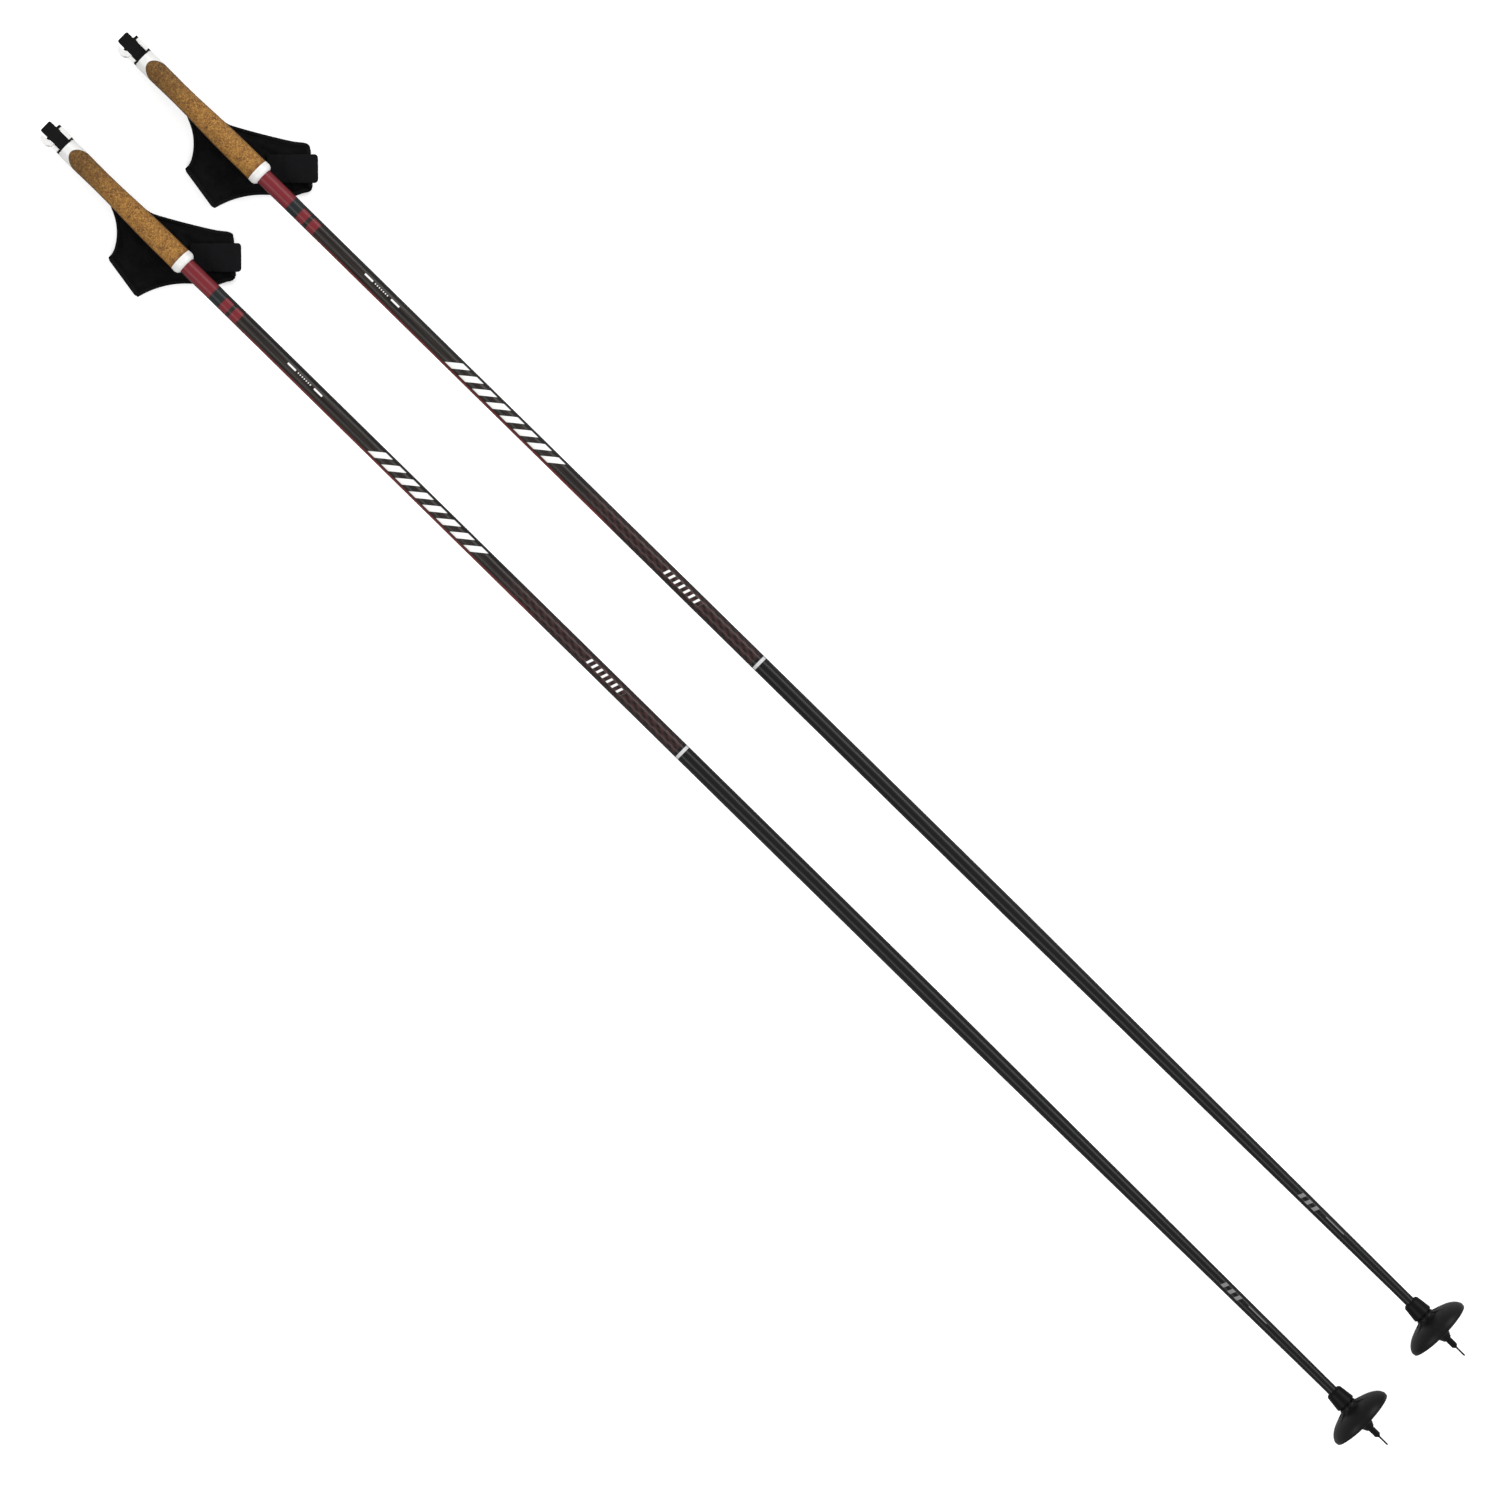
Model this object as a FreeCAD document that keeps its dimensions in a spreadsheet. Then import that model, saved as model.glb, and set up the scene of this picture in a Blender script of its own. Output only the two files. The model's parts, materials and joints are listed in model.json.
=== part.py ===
import FreeCAD, Part
import math
import os
import Sketcher
from FreeCAD import Placement, Rotation, Vector

# A pair of cross country ski poles lying on a floor, in millimetres.
# Each pole is drawn along its own X axis, from the top of the grip at x = 0 to the carbide point,
# with Y across the grip and Z towards the grip's front. The strap lies flat behind the grip.
# The pair stands on z = 0 with +X from grips to tips, and its box is centred over the origin.

DIMENSIONS = {
    # whole pole
    "pole_length": 1744.2,
    "pole_spacing": 109.0,
    "pole_stagger": 6.9,
    # carbon shaft
    "shaft_start": 36.0,
    "shaft_radius": 8.0,
    "shaft_wall": 1.2,
    "taper_start": 1157.0,
    "taper_end": 1665.0,
    "shaft_end": 1697.0,
    "shaft_end_radius": 5.0,
    # grip: white core with a fork at the top, cork over it and a ring at its foot
    "head_start": 27.4,
    "groove_start": 25.5,
    "groove_depth": 1.1,
    "cork_end": 175.8,
    "ring_end": 184.1,
    "ring_radius": 11.6,
    "sleeve_radius": 8.9,
    "nose_length": 15.7,
    "nose_centre": 50.5,
    "nose_half_width": 10.5,
    "fork_half_depth": 8.5,
    "arm_start": 11.5,
    "arm_inner": 7.4,
    "arm_outer": 11.0,
    "head_low_side": 9.5,
    "head_high_side": 10.0,
    # release lever on the low side of the fork
    "lever_start": 4.0,
    "lever_inner": 6.2,
    "lever_notch": 7.3,
    "lever_notch_end": 11.8,
    "lever_bump": 12.5,
    "lever_root": 17.9,
    "lever_end": 24.2,
    "lever_root_half_depth": 5.0,
    "cheek_inner": 5.2,
    "lever_pin_x": 21.2,
    "lever_pin_y": 7.85,
    "lever_pin_radius": 0.8,
    "running_gap": 0.05,
    # strap plug between the fork's arms
    "plug_end": 25.2,
    "plug_low_side": 5.6,
    "plug_high_side": 6.9,
    "plug_half_depth": 9.0,
    "shoulder_start": 8.8,
    "shoulder_width": 2.5,
    "webbing_pin_x": 19.0,
    "webbing_pin_radius": 1.2,
    # strap
    "soft_gap": 0.3,
    "cork_gap": 0.6,
    "panel_thickness": 2.2,
    "hand_gap": 4.8,
    "binding_width": 3.0,
    "webbing_width": 12.0,
    "webbing_thickness": 1.6,
    "webbing_low": 3.8,
    "webbing_exit": 17.0,
    "webbing_end": 90.0,
    "band_length": 28.0,
    "band_width": 27.0,
    "band_thickness": 1.8,
    "patch_thickness": 0.8,
    "band_root_x": 193.5,
    "band_root_y": 21.0,
    # quick-change basket
    "nut_start": 1673.0,
    "nut_shoulder": 1679.0,
    "nut_end": 1690.4,
    "nut_small_radius": 8.1,
    "nut_large_radius": 9.75,
    "hub_sleeve_radius": 7.0,
    "hub_radius": 7.4,
    "hub_start": 1684.0,
    "hub_end": 1722.0,
    "rim_radius": 33.0,
    "rim_centre": 1710.3,
    "rim_tilt": 3.5,
    "dome_height": 16.3,
    "dome_wall": 2.2,
    "rib_thickness": 1.4,
    "boss_radius": 9.0,
    "boss_flare": 14.5,
    "gusset_reach": 21.0,
    "gusset_thickness": 2.4,
    # tip
    "ferrule_start": 1679.3,
    "ferrule_radius": 5.9,
    "stub_radius": 3.0,
    "neck_start": 1716.0,
    "neck_radius": 3.3,
    "stub_start": 1722.4,
    "stub_end": 1731.0,
    "carbide_radius": 0.9,
    "carbide_start": 1727.0,
}

# ovals of the grip's outside: distance from the top, half width, front reach and back reach
GRIP_OVALS = [
    (27.4, 9.8, 9.5, 11.0),
    (50.0, 10.0, 10.5, 13.0),
    (100.0, 10.2, 11.0, 13.5),
    (128.0, 11.15, 11.5, 13.0),
    (152.0, 11.5, 11.6, 12.2),
    (175.8, 11.6, 11.6, 11.6),
]
DISC_START = 6.0  # the disc's section starts inside the hub's hole
TOUCH = 1e-6
ALONG_X = Rotation(Vector(0, 0, 1), Vector(1, 0, 0))

doc = FreeCAD.newDocument("ski_poles")
sheet = doc.addObject("Spreadsheet::Sheet", "Dims")
for row, (alias, value) in enumerate(DIMENSIONS.items(), start=1):
    sheet.set(f"A{row}", alias)
    sheet.set(f"B{row}", str(value))
    sheet.setAlias(f"B{row}", alias)
doc.recompute()


def size(expression):
    """The value of a formula in the sheet's names."""
    return float(sheet.evalExpression(expression))


def named(formula):
    """The same formula with each name led by the sheet's, as an object outside the sheet needs it."""
    words = []
    for word in formula.replace("(", "( ").replace(")", " )").split():
        words.append(f"Dims.{word}" if word in DIMENSIONS else word)
    return " ".join(words)


def bind(thing, **formulas):
    """Tie an object's sizes to the sheet."""
    for name, formula in formulas.items():
        thing.setExpression(name.replace("__", "."), named(formula))


def origin_plane(body, role):
    """A body's own origin plane."""
    return next(item for item in body.Origin.OriginFeatures if item.Role == role)


def new_sketch(body, name, role="XY_Plane", offset="0"):
    """An empty sketch on one of the body's origin planes, raised by a formula."""
    sketch = body.newObject("Sketcher::SketchObject", name)
    sketch.AttachmentSupport = [(origin_plane(body, role), "")]
    sketch.MapMode = "FlatFace"
    sketch.setExpression(".AttachmentOffset.Base.z", named(offset))
    return sketch


def pin_point(sketch, edge, vertex, formulas):
    """Hold a vertex at the place that two formulas give."""
    for kind, formula, axis in zip(("DistanceX", "DistanceY"), formulas, (-2, -1)):
        value = size(formula)
        if abs(value) < TOUCH:
            sketch.addConstraint(Sketcher.Constraint("PointOnObject", edge, vertex, axis))
            continue
        index = sketch.addConstraint(Sketcher.Constraint(kind, -1, 1, edge, vertex, value))
        sketch.setExpression(f"Constraints[{index}]", named(formula))


def draw(sketch, corners):
    """A closed outline of corners; one with two more formulas starts an arc through that point."""
    places = [Vector(size(str(c[0])), size(str(c[1])), 0) for c in corners]
    ends = []
    for index, corner in enumerate(corners):
        start, finish = places[index], places[(index + 1) % len(places)]
        if len(corner) == 2:
            edge = sketch.addGeometry(Part.LineSegment(start, finish), False)
            ends.append((edge, 1, 2))
            continue
        via = Vector(size(str(corner[2])), size(str(corner[3])), 0)
        edge = sketch.addGeometry(Part.Arc(start, via, finish), False)
        forwards = sketch.getPoint(edge, 1).distanceToPoint(start) < TOUCH
        ends.append((edge, 1, 2) if forwards else (edge, 2, 1))
        mark = sketch.addGeometry(Part.Point(via), True)
        pin_point(sketch, mark, 1, [str(item) for item in corner[2:]])
        sketch.addConstraint(Sketcher.Constraint("PointOnObject", mark, 1, edge))
    for index, (edge, start, _) in enumerate(ends):
        before, _, finish = ends[index - 1]
        sketch.addConstraint(Sketcher.Constraint("Coincident", before, finish, edge, start))
        pin_point(sketch, edge, start, [str(item) for item in corners[index][:2]])


def new_body(name):
    """An empty PartDesign body."""
    return doc.addObject("PartDesign::Body", name)


def turned(name, corners):
    """A body turned about the pole's axis from its half section (distance along, radius)."""
    body = new_body(name)
    sketch = new_sketch(body, f"{name}_section")
    draw(sketch, corners)
    feature = body.newObject("PartDesign::Revolution", f"{name}_turned")
    feature.Profile = sketch
    feature.ReferenceAxis = (sketch, ["H_Axis"])
    feature.Angle = 360
    return body


def plate(name, corners, height, offset="0", role="XY_Plane", symmetric=False):
    """A body padded from one outline."""
    body = new_body(name)
    sketch = new_sketch(body, f"{name}_outline", role, offset)
    draw(sketch, corners)
    pad = body.newObject("PartDesign::Pad", f"{name}_pad")
    pad.Profile = sketch
    pad.SideType = "Symmetric" if symmetric else "One side"
    bind(pad, Length=height)
    return body


def round_pin(name, centre, radius, length, role="XY_Plane", offset="0"):
    """A round pin through an origin plane, padded evenly to both sides of it."""
    body = new_body(name)
    sketch = new_sketch(body, f"{name}_outline", role, offset)
    place = Vector(size(centre[0]), size(centre[1]), 0)
    circle = sketch.addGeometry(Part.Circle(place, Vector(0, 0, 1), size(radius)), False)
    index = sketch.addConstraint(Sketcher.Constraint("Radius", circle, size(radius)))
    sketch.setExpression(f"Constraints[{index}]", named(radius))
    pin_point(sketch, circle, 3, centre)
    pad = body.newObject("PartDesign::Pad", f"{name}_pad")
    pad.Profile = sketch
    pad.SideType = "Symmetric"
    bind(pad, Length=length)
    return body


def edges_softened(body, feature, radius, chosen):
    """Fillet those edges of a body's last feature that a test picks."""
    doc.recompute()
    names = [f"Edge{i}" for i, edge in enumerate(feature.Shape.Edges, start=1) if chosen(edge)]
    fillet = body.newObject("PartDesign::Fillet", f"{body.Name}_soft")
    fillet.Base = (feature, names)
    fillet.Radius = radius
    doc.recompute()


def box_of(name, low, high):
    """A box between two corners given as formulas."""
    box = doc.addObject("Part::Box", name)
    bind(
        box,
        Length=f"( {high[0]} ) - ( {low[0]} )",
        Width=f"( {high[1]} ) - ( {low[1]} )",
        Height=f"( {high[2]} ) - ( {low[2]} )",
        __Placement__Base__x=low[0],
        __Placement__Base__y=low[1],
        __Placement__Base__z=low[2],
    )
    return box


def rod(name, radius, start, finish):
    """A cylinder about the pole's axis."""
    cylinder = doc.addObject("Part::Cylinder", name)
    cylinder.Placement = Placement(Vector(), ALONG_X)
    bind(cylinder, Radius=radius, Height=f"( {finish} ) - ( {start} )", __Placement__Base__x=start)
    return cylinder


def cross_hole(name, radius, half_length, x, y):
    """The tool for a hole along Z, centred on the pole's middle plane."""
    cylinder = doc.addObject("Part::Cylinder", name)
    bind(
        cylinder,
        Radius=radius,
        Height=f"2 * ( {half_length} )",
        __Placement__Base__x=x,
        __Placement__Base__y=y,
        __Placement__Base__z=f"0 - ( {half_length} )",
    )
    return cylinder


def fused(name, *shapes):
    """One solid of several overlapping ones."""
    result = doc.addObject("Part::MultiFuse", name)
    result.Shapes = list(shapes)
    result.Refine = True
    return result


def cut(name, base, tool):
    """A solid less another."""
    result = doc.addObject("Part::Cut", name)
    result.Base = base
    result.Tool = tool
    return result


def shaft(side):
    """The hollow carbon tube, straight at first and then tapered towards the basket."""
    inner = "shaft_radius - shaft_wall"
    inner_end = "shaft_end_radius - shaft_wall"
    return turned(
        f"{side}_shaft",
        [
            ("shaft_start", inner),
            ("shaft_start", "shaft_radius"),
            ("taper_start", "shaft_radius"),
            ("taper_end", "shaft_end_radius"),
            ("shaft_end", "shaft_end_radius"),
            ("shaft_end", inner_end),
            ("taper_end", inner_end),
            ("taper_start", inner),
        ],
    )


def grip_blank(name):
    """The smooth outside that the white head and the cork share, lofted through ovals."""
    sections = []
    for index, (x, half_width, front, back) in enumerate(GRIP_OVALS):
        half_depth = (front + back) / 2
        oval = doc.addObject("Part::Ellipse", f"{name}_oval_{index}")
        oval.MajorRadius = max(half_width, half_depth)
        oval.MinorRadius = min(half_width, half_depth)
        major_is_depth = half_depth >= half_width
        turn = Rotation(Vector(1, 0, 0), -90 if major_is_depth else 0)
        upright = Rotation(Vector(0, 1, 0), Vector(0, 0, 1), Vector(1, 0, 0), "XYZ")
        oval.Placement = Placement(Vector(x, 0, (front - back) / 2), turn.multiply(upright))
        sections.append(oval)
    loft = doc.addObject("Part::Loft", name)
    loft.Sections = sections
    loft.Solid = True
    return loft


def nose_tool(name):
    """What the cork fills of the blank: an oval nose in the front view, then everything below it."""
    oval = doc.addObject("Part::Ellipse", f"{name}_oval")
    bind(oval, MajorRadius="nose_length", MinorRadius="nose_half_width", __Placement__Base__x="nose_centre")
    prism = doc.addObject("Part::Extrusion", f"{name}_prism")
    prism.Base = oval
    prism.Dir = Vector(0, 0, 1)
    prism.Solid = True
    prism.Symmetric = True
    prism.LengthFwd = 60
    lower = box_of(f"{name}_lower", ("nose_centre", "-30", "-30"), ("ring_end", "30", "30"))
    return fused(name, prism, lower)


def cork_grip(side):
    """The cork sleeve with its rounded nose."""
    name = f"{side}_cork_grip"
    blank = grip_blank(f"{name}_blank")
    common = doc.addObject("Part::Common", f"{name}_outside")
    common.Base = blank
    common.Tool = nose_tool(f"{name}_nose")
    return cut(name, common, rod(f"{name}_bore", "sleeve_radius", "head_start - 2", "ring_end"))


def grip_core(side):
    """The white moulding: fork, head, and the sleeve that runs down inside the cork."""
    name = f"{side}_grip_core"
    shell = cut(f"{name}_head", grip_blank(f"{name}_blank"), nose_tool(f"{name}_nose"))
    sleeve = rod(f"{name}_sleeve", "sleeve_radius", "head_start", "cork_end")
    groove = box_of(
        f"{name}_groove",
        ("groove_start", "groove_depth - head_low_side", "groove_depth + 0.2 - fork_half_depth"),
        ("head_start + 0.5", "head_high_side - groove_depth", "fork_half_depth - groove_depth - 0.2"),
    )
    arm = plate(
        f"{name}_arm",
        [
            ("groove_start", "arm_inner"),
            ("arm_start", "arm_inner"),
            ("arm_start", "arm_outer - 1.6", "arm_start + 0.45", "arm_outer - 0.45"),
            ("arm_start + 1.6", "arm_outer"),
            ("groove_start", "arm_outer - 0.6"),
        ],
        "2 * fork_half_depth",
        symmetric=True,
    )
    edges_softened(arm, arm.Tip, 0.8, lambda edge: edge.CenterOfMass.y > size("arm_outer - 1.2")
                   and abs(abs(edge.CenterOfMass.z) - size("fork_half_depth")) < TOUCH)
    cheeks = [
        box_of(
            f"{name}_cheek_{face}",
            ("lever_root + 0.3", "0 - head_low_side", low),
            ("groove_start", "0 - lever_inner - 0.2", high),
        )
        for face, low, high in (
            ("front", "cheek_inner", "fork_half_depth - groove_depth - 0.2"),
            ("back", "groove_depth + 0.2 - fork_half_depth", "0 - cheek_inner"),
        )
    ]
    solid = fused(f"{name}_solid", shell, sleeve, groove, arm, *cheeks)
    bored = cut(f"{name}_bored", solid, rod(f"{name}_bore", "shaft_radius", "shaft_start", "ring_end"))
    pin_hole = cross_hole(
        f"{name}_pin_hole", "lever_pin_radius", "fork_half_depth + 2", "lever_pin_x", "0 - lever_pin_y"
    )
    return cut(name, bored, pin_hole)


def release_lever(side):
    """The sprung arm with a thumb bump that holds the plug in from the low side."""
    name = f"{side}_release_lever"
    arm = plate(
        f"{name}_arm",
        [
            ("lever_start", "0 - lever_notch"),
            ("lever_start", "0 - head_low_side", "lever_start + 5.2", "0 - lever_bump"),
            ("lever_start + 12", "0 - head_low_side"),
            ("lever_root", "0 - head_low_side"),
            ("lever_root", "0 - lever_inner"),
            ("lever_notch_end", "0 - lever_inner"),
            ("lever_notch_end", "0 - lever_notch"),
        ],
        "2 * fork_half_depth - 1",
        symmetric=True,
    )
    root = plate(
        f"{name}_root",
        [
            ("lever_root - 1", "0 - head_low_side"),
            ("lever_end", "0 - head_low_side", "lever_end + 0.5", "0 - lever_pin_y"),
            ("lever_end", "0 - lever_inner"),
            ("lever_root - 1", "0 - lever_inner"),
        ],
        "2 * lever_root_half_depth",
        symmetric=True,
    )
    pin_hole = cross_hole(
        f"{name}_hole",
        "lever_pin_radius + running_gap",
        "fork_half_depth + 2",
        "lever_pin_x",
        "0 - lever_pin_y",
    )
    return cut(name, fused(f"{name}_solid", arm, root), pin_hole)


def lever_pin(side):
    """The steel pin that the lever turns on, pressed into the head's two cheeks."""
    centre = ("lever_pin_x", "0 - lever_pin_y")
    return round_pin(f"{side}_lever_pin", centre, "lever_pin_radius", "2 * fork_half_depth - 3")


def head_band(side):
    """The black rubber band in the groove between the fork and the head."""
    name = f"{side}_head_band"
    outside = box_of(
        f"{name}_outside",
        ("groove_start", "0 - head_low_side", "0.2 - fork_half_depth"),
        ("head_start", "head_high_side", "fork_half_depth - 0.2"),
    )
    inside = box_of(
        f"{name}_inside",
        ("groove_start - 1", "groove_depth - head_low_side", "groove_depth + 0.2 - fork_half_depth"),
        ("head_start + 1", "head_high_side - groove_depth", "fork_half_depth - groove_depth - 0.2"),
    )
    return cut(name, outside, inside)


def end_ring(side):
    """The white ring that closes the foot of the cork."""
    return turned(
        f"{side}_end_ring",
        [
            ("cork_end", "shaft_radius"),
            ("cork_end", "ring_radius"),
            ("cork_end + 2", "ring_radius", "cork_end + 6.6", "ring_radius - 0.9"),
            ("ring_end", "shaft_radius + 0.7"),
            ("ring_end", "shaft_radius"),
        ],
    )


def strap_plug(side):
    """The wedge that carries the strap: a bevelled block with a shoulder on each side."""
    name = f"{side}_strap_plug"
    body = plate(
        f"{name}_block",
        [
            ("1.6", "0 - plug_low_side"),
            ("plug_end", "0 - plug_low_side"),
            ("plug_end", "plug_high_side"),
            ("shoulder_start + shoulder_width", "plug_high_side"),
            ("shoulder_start + shoulder_width", "arm_outer - 0.2"),
            ("shoulder_start + 0.5", "arm_outer - 0.2"),
            ("shoulder_start", "plug_high_side"),
            ("1.6", "plug_high_side", "0.5", "plug_high_side - 0.6"),
            ("0", "plug_high_side - 2"),
            ("0", "2 - plug_low_side", "0.5", "0.6 - plug_low_side"),
        ],
        "2 * plug_half_depth",
        symmetric=True,
    )
    doc.recompute()
    scoop = new_sketch(body, f"{name}_scoop", "XZ_Plane", "0 - arm_outer - 2")
    draw(
        scoop,
        [
            ("-3", "plug_half_depth + 1"),
            ("-3", "plug_half_depth - 3.6"),
            ("2.4", "plug_half_depth - 1.4", "9.5", "plug_half_depth - 0.4"),
            ("16.5", "plug_half_depth - 1.2"),
            ("19", "plug_half_depth - 2.8"),
            ("plug_end + 2", "plug_half_depth - 3.2"),
            ("plug_end + 2", "plug_half_depth + 1"),
        ],
    )
    pocket = body.newObject("PartDesign::Pocket", f"{name}_bevel")
    pocket.Profile = scoop
    pocket.SideType = "Symmetric"
    pocket.Length = 80
    tooth = box_of(
        f"{name}_tooth",
        ("shoulder_start", "0.4 - lever_notch", "-4"),
        ("shoulder_start + shoulder_width", "0", "4"),
    )
    hole = doc.addObject("Part::Cylinder", f"{name}_hole")
    hole.Placement = Placement(Vector(), Rotation(Vector(0, 0, 1), Vector(0, 1, 0)))
    bind(
        hole,
        Radius="webbing_pin_radius",
        Height="plug_low_side + plug_high_side + 10",
        __Placement__Base__x="webbing_pin_x",
        __Placement__Base__y="0 - plug_low_side - 5",
    )
    return cut(name, fused(f"{name}_solid", body, tooth), hole)


def webbing_pin(side):
    """The steel cross pin that the webbing's loop is sewn round, inside the plug."""
    return round_pin(
        f"{side}_webbing_pin",
        ("webbing_pin_x", "0"),
        "webbing_pin_radius",
        "plug_low_side + plug_high_side - 0.4",
        role="XZ_Plane",
        offset="( plug_low_side - plug_high_side ) / 2",
    )


def basket_and_tip(side):
    """Collar nut, basket hub, basket disc, ferrule and carbide point."""
    nut = turned(
        f"{side}_collar_nut",
        [
            ("nut_start", "shaft_end_radius + running_gap"),
            ("nut_start", "nut_small_radius - 1.4"),
            ("nut_start + 1.6", "nut_small_radius"),
            ("nut_end - 2.4", "nut_large_radius"),
            ("nut_end - 1", "nut_large_radius"),
            ("nut_end", "nut_large_radius - 1.2"),
            ("nut_end", "hub_sleeve_radius + running_gap"),
            ("nut_shoulder", "hub_sleeve_radius + running_gap"),
            ("nut_shoulder", "shaft_end_radius + running_gap"),
        ],
    )
    hub = turned(
        f"{side}_basket_hub",
        [
            ("hub_start", "ferrule_radius + running_gap"),
            ("hub_start", "hub_sleeve_radius"),
            ("nut_end + 1.2", "hub_sleeve_radius"),
            ("nut_end + 3.4", "hub_radius"),
            ("hub_end - 6.5", "hub_radius"),
            ("hub_end - 4.6", "6.2"),
            ("hub_end", "4"),
            ("hub_end", "neck_radius + running_gap"),
            ("neck_start + 0.3", "neck_radius + running_gap"),
            ("neck_start - 3.7", "ferrule_radius + running_gap"),
        ],
    )
    ferrule = turned(
        f"{side}_tip_ferrule",
        [
            ("ferrule_start", "shaft_end_radius"),
            ("ferrule_start", "ferrule_radius + 0.8"),
            ("hub_start - 0.5", "ferrule_radius + 0.8"),
            ("hub_start - 0.5", "ferrule_radius"),
            ("neck_start - 4", "ferrule_radius"),
            ("neck_start", "neck_radius"),
            ("stub_start", "neck_radius"),
            ("stub_start", "stub_radius"),
            ("stub_end", "stub_radius"),
            ("stub_end + 2", "carbide_radius + 0.3"),
            ("stub_end + 2", "carbide_radius"),
            ("carbide_start", "carbide_radius"),
            ("carbide_start", "0"),
            ("shaft_end", "0"),
            ("shaft_end", "shaft_end_radius"),
        ],
    )
    carbide = turned(
        f"{side}_carbide_tip",
        [
            ("carbide_start", "0"),
            ("carbide_start", "carbide_radius"),
            ("pole_length - 1", "carbide_radius"),
            ("pole_length", "carbide_radius - 0.5"),
            ("pole_length", "0"),
        ],
    )
    return nut, hub, ferrule, carbide


def on_dome(height, depth=0.0):
    """The distance along the disc's axis where the dome, or a surface inside it, has this height."""
    crown, rim = size("dome_height") - depth, size("rim_radius") - depth
    return -crown * math.sqrt(1 - (height / rim) ** 2)


def dome_arcs(low, high, depth=0.0):
    """The dome's section from one height to another, as three arcs."""
    points = []
    for share in (0, 0.5, 0.8):
        start = low + (high - low) * share
        middle = low + (high - low) * (share + {0: 0.25, 0.5: 0.15, 0.8: 0.1}[share])
        points.append((on_dome(start, depth), start, on_dome(middle, depth), middle))
    return points


def basket_disc(side):
    """The domed disc with its rim in one plane, a boss round the hub, ribs inside and gussets outside."""
    name = f"{side}_basket_disc"
    rim, wall = size("rim_radius"), size("dome_wall")
    lip = rim - wall - 0.2
    boss, boss_start = size("boss_radius"), size("nut_end") + 0.6 - size("rim_centre")
    flare = size("boss_flare")
    inside = [
        (on_dome(start, wall), start, on_dome(via, wall), via)
        for start, via in ((lip, lip * 0.96), (lip * 0.92, lip * 0.8), (lip * 0.68, lip * 0.4))
    ]
    body = turned(
        f"{name}_dome",
        [
            (boss_start, DISC_START),
            (boss_start, boss - 0.5),
            (boss_start + 0.5, boss),
            (boss_start + 2, boss, boss_start + 3.4, boss + 1.5),
            *dome_arcs(flare, rim - 0.3),
            (on_dome(rim - 0.3), rim - 0.3),
            (0.6, rim - 0.6),
            (0.9, rim - 1.6),
            *inside,
            (on_dome(DISC_START, wall), DISC_START),
        ],
    )
    doc.recompute()
    middle = wall - 0.8
    rib = new_sketch(body, f"{name}_rib")
    draw(
        rib,
        [
            (on_dome(DISC_START, middle), DISC_START, on_dome(17, middle), 17),
            (on_dome(26, middle), 26),
            (on_dome(26, middle) + 2.4, 26),
            (-3.4, DISC_START),
        ],
    )
    gusset = new_sketch(body, f"{name}_gusset")
    reach = size("gusset_reach")
    draw(
        gusset,
        [
            (boss_start + 1.6, DISC_START),
            (boss_start + 1.6, boss),
            (boss_start + 2.4, boss + 1.4),
            (on_dome(reach) - 0.1, reach),
            (on_dome(reach) + 0.8, reach),
            (on_dome(DISC_START) + 0.8, DISC_START),
        ],
    )
    for profile, thickness in ((rib, "rib_thickness"), (gusset, "gusset_thickness")):
        pad = body.newObject("PartDesign::Pad", f"{profile.Name}_pad")
        pad.Profile = profile
        pad.SideType = "Symmetric"
        bind(pad, Length=thickness)
        doc.recompute()
        ring = body.newObject("PartDesign::PolarPattern", f"{profile.Name}_ring")
        ring.Originals = [pad]
        ring.Axis = (profile, ["H_Axis"])
        ring.Occurrences = 6
        body.Tip = ring
        doc.recompute()
    tilt = Rotation(Vector(0, 1, 0), size("rim_tilt"))
    turn = Rotation(Vector(1, 0, 0), 30)
    body.Placement = Placement(Vector(size("rim_centre"), 0, 0), tilt * turn)
    return cut(name, body, rod(f"{name}_hole", "hub_radius", "hub_start", "hub_end + 10"))


def panel_corners():
    """The hand panel's outline: a waist under the grip, a lobe on each side, two straight ends."""
    return [
        ("webbing_end", 6),
        ("webbing_end", -9.5, 113, -22.3),
        (125.2, -40),
        (124.7, -46.5),
        (169.3, -53.8, 178.6, -30.5),
        (197, -8.5),
        (216, 8.5),
        (218.5, 16),
        (224.5, 21.6),
        (190.9, 52.3),
        (179.5, 43, 151.5, 26.2),
        (124.7, 11.5),
    ]


def strap(side):
    """The soft parts, drawn level with the floor at z = 0."""
    top_of_panels = "2 * panel_thickness + hand_gap"
    lower = plate(f"{side}_lower_panel", panel_corners(), "panel_thickness")
    upper = plate(
        f"{side}_upper_panel", panel_corners(), "panel_thickness", "panel_thickness + hand_gap"
    )
    webbing = plate(
        f"{side}_strap_webbing",
        [
            ("webbing_exit - webbing_thickness / 2", 13.1),
            ("webbing_exit - webbing_thickness / 2", 7.8, 17.4, 5),
            (20.5, "webbing_low"),
            ("webbing_end", "webbing_low"),
            ("webbing_end", "webbing_low + webbing_thickness"),
            (20.9, "webbing_low + webbing_thickness", 18.6, 6.2),
            ("webbing_exit + webbing_thickness / 2", 8),
            ("webbing_exit + webbing_thickness / 2", 13.1),
        ],
        "webbing_width",
        role="XZ_Plane",
        symmetric=True,
    )
    return lower, upper, webbing, edge_bindings(side), closure_patch(side, top_of_panels)


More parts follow.
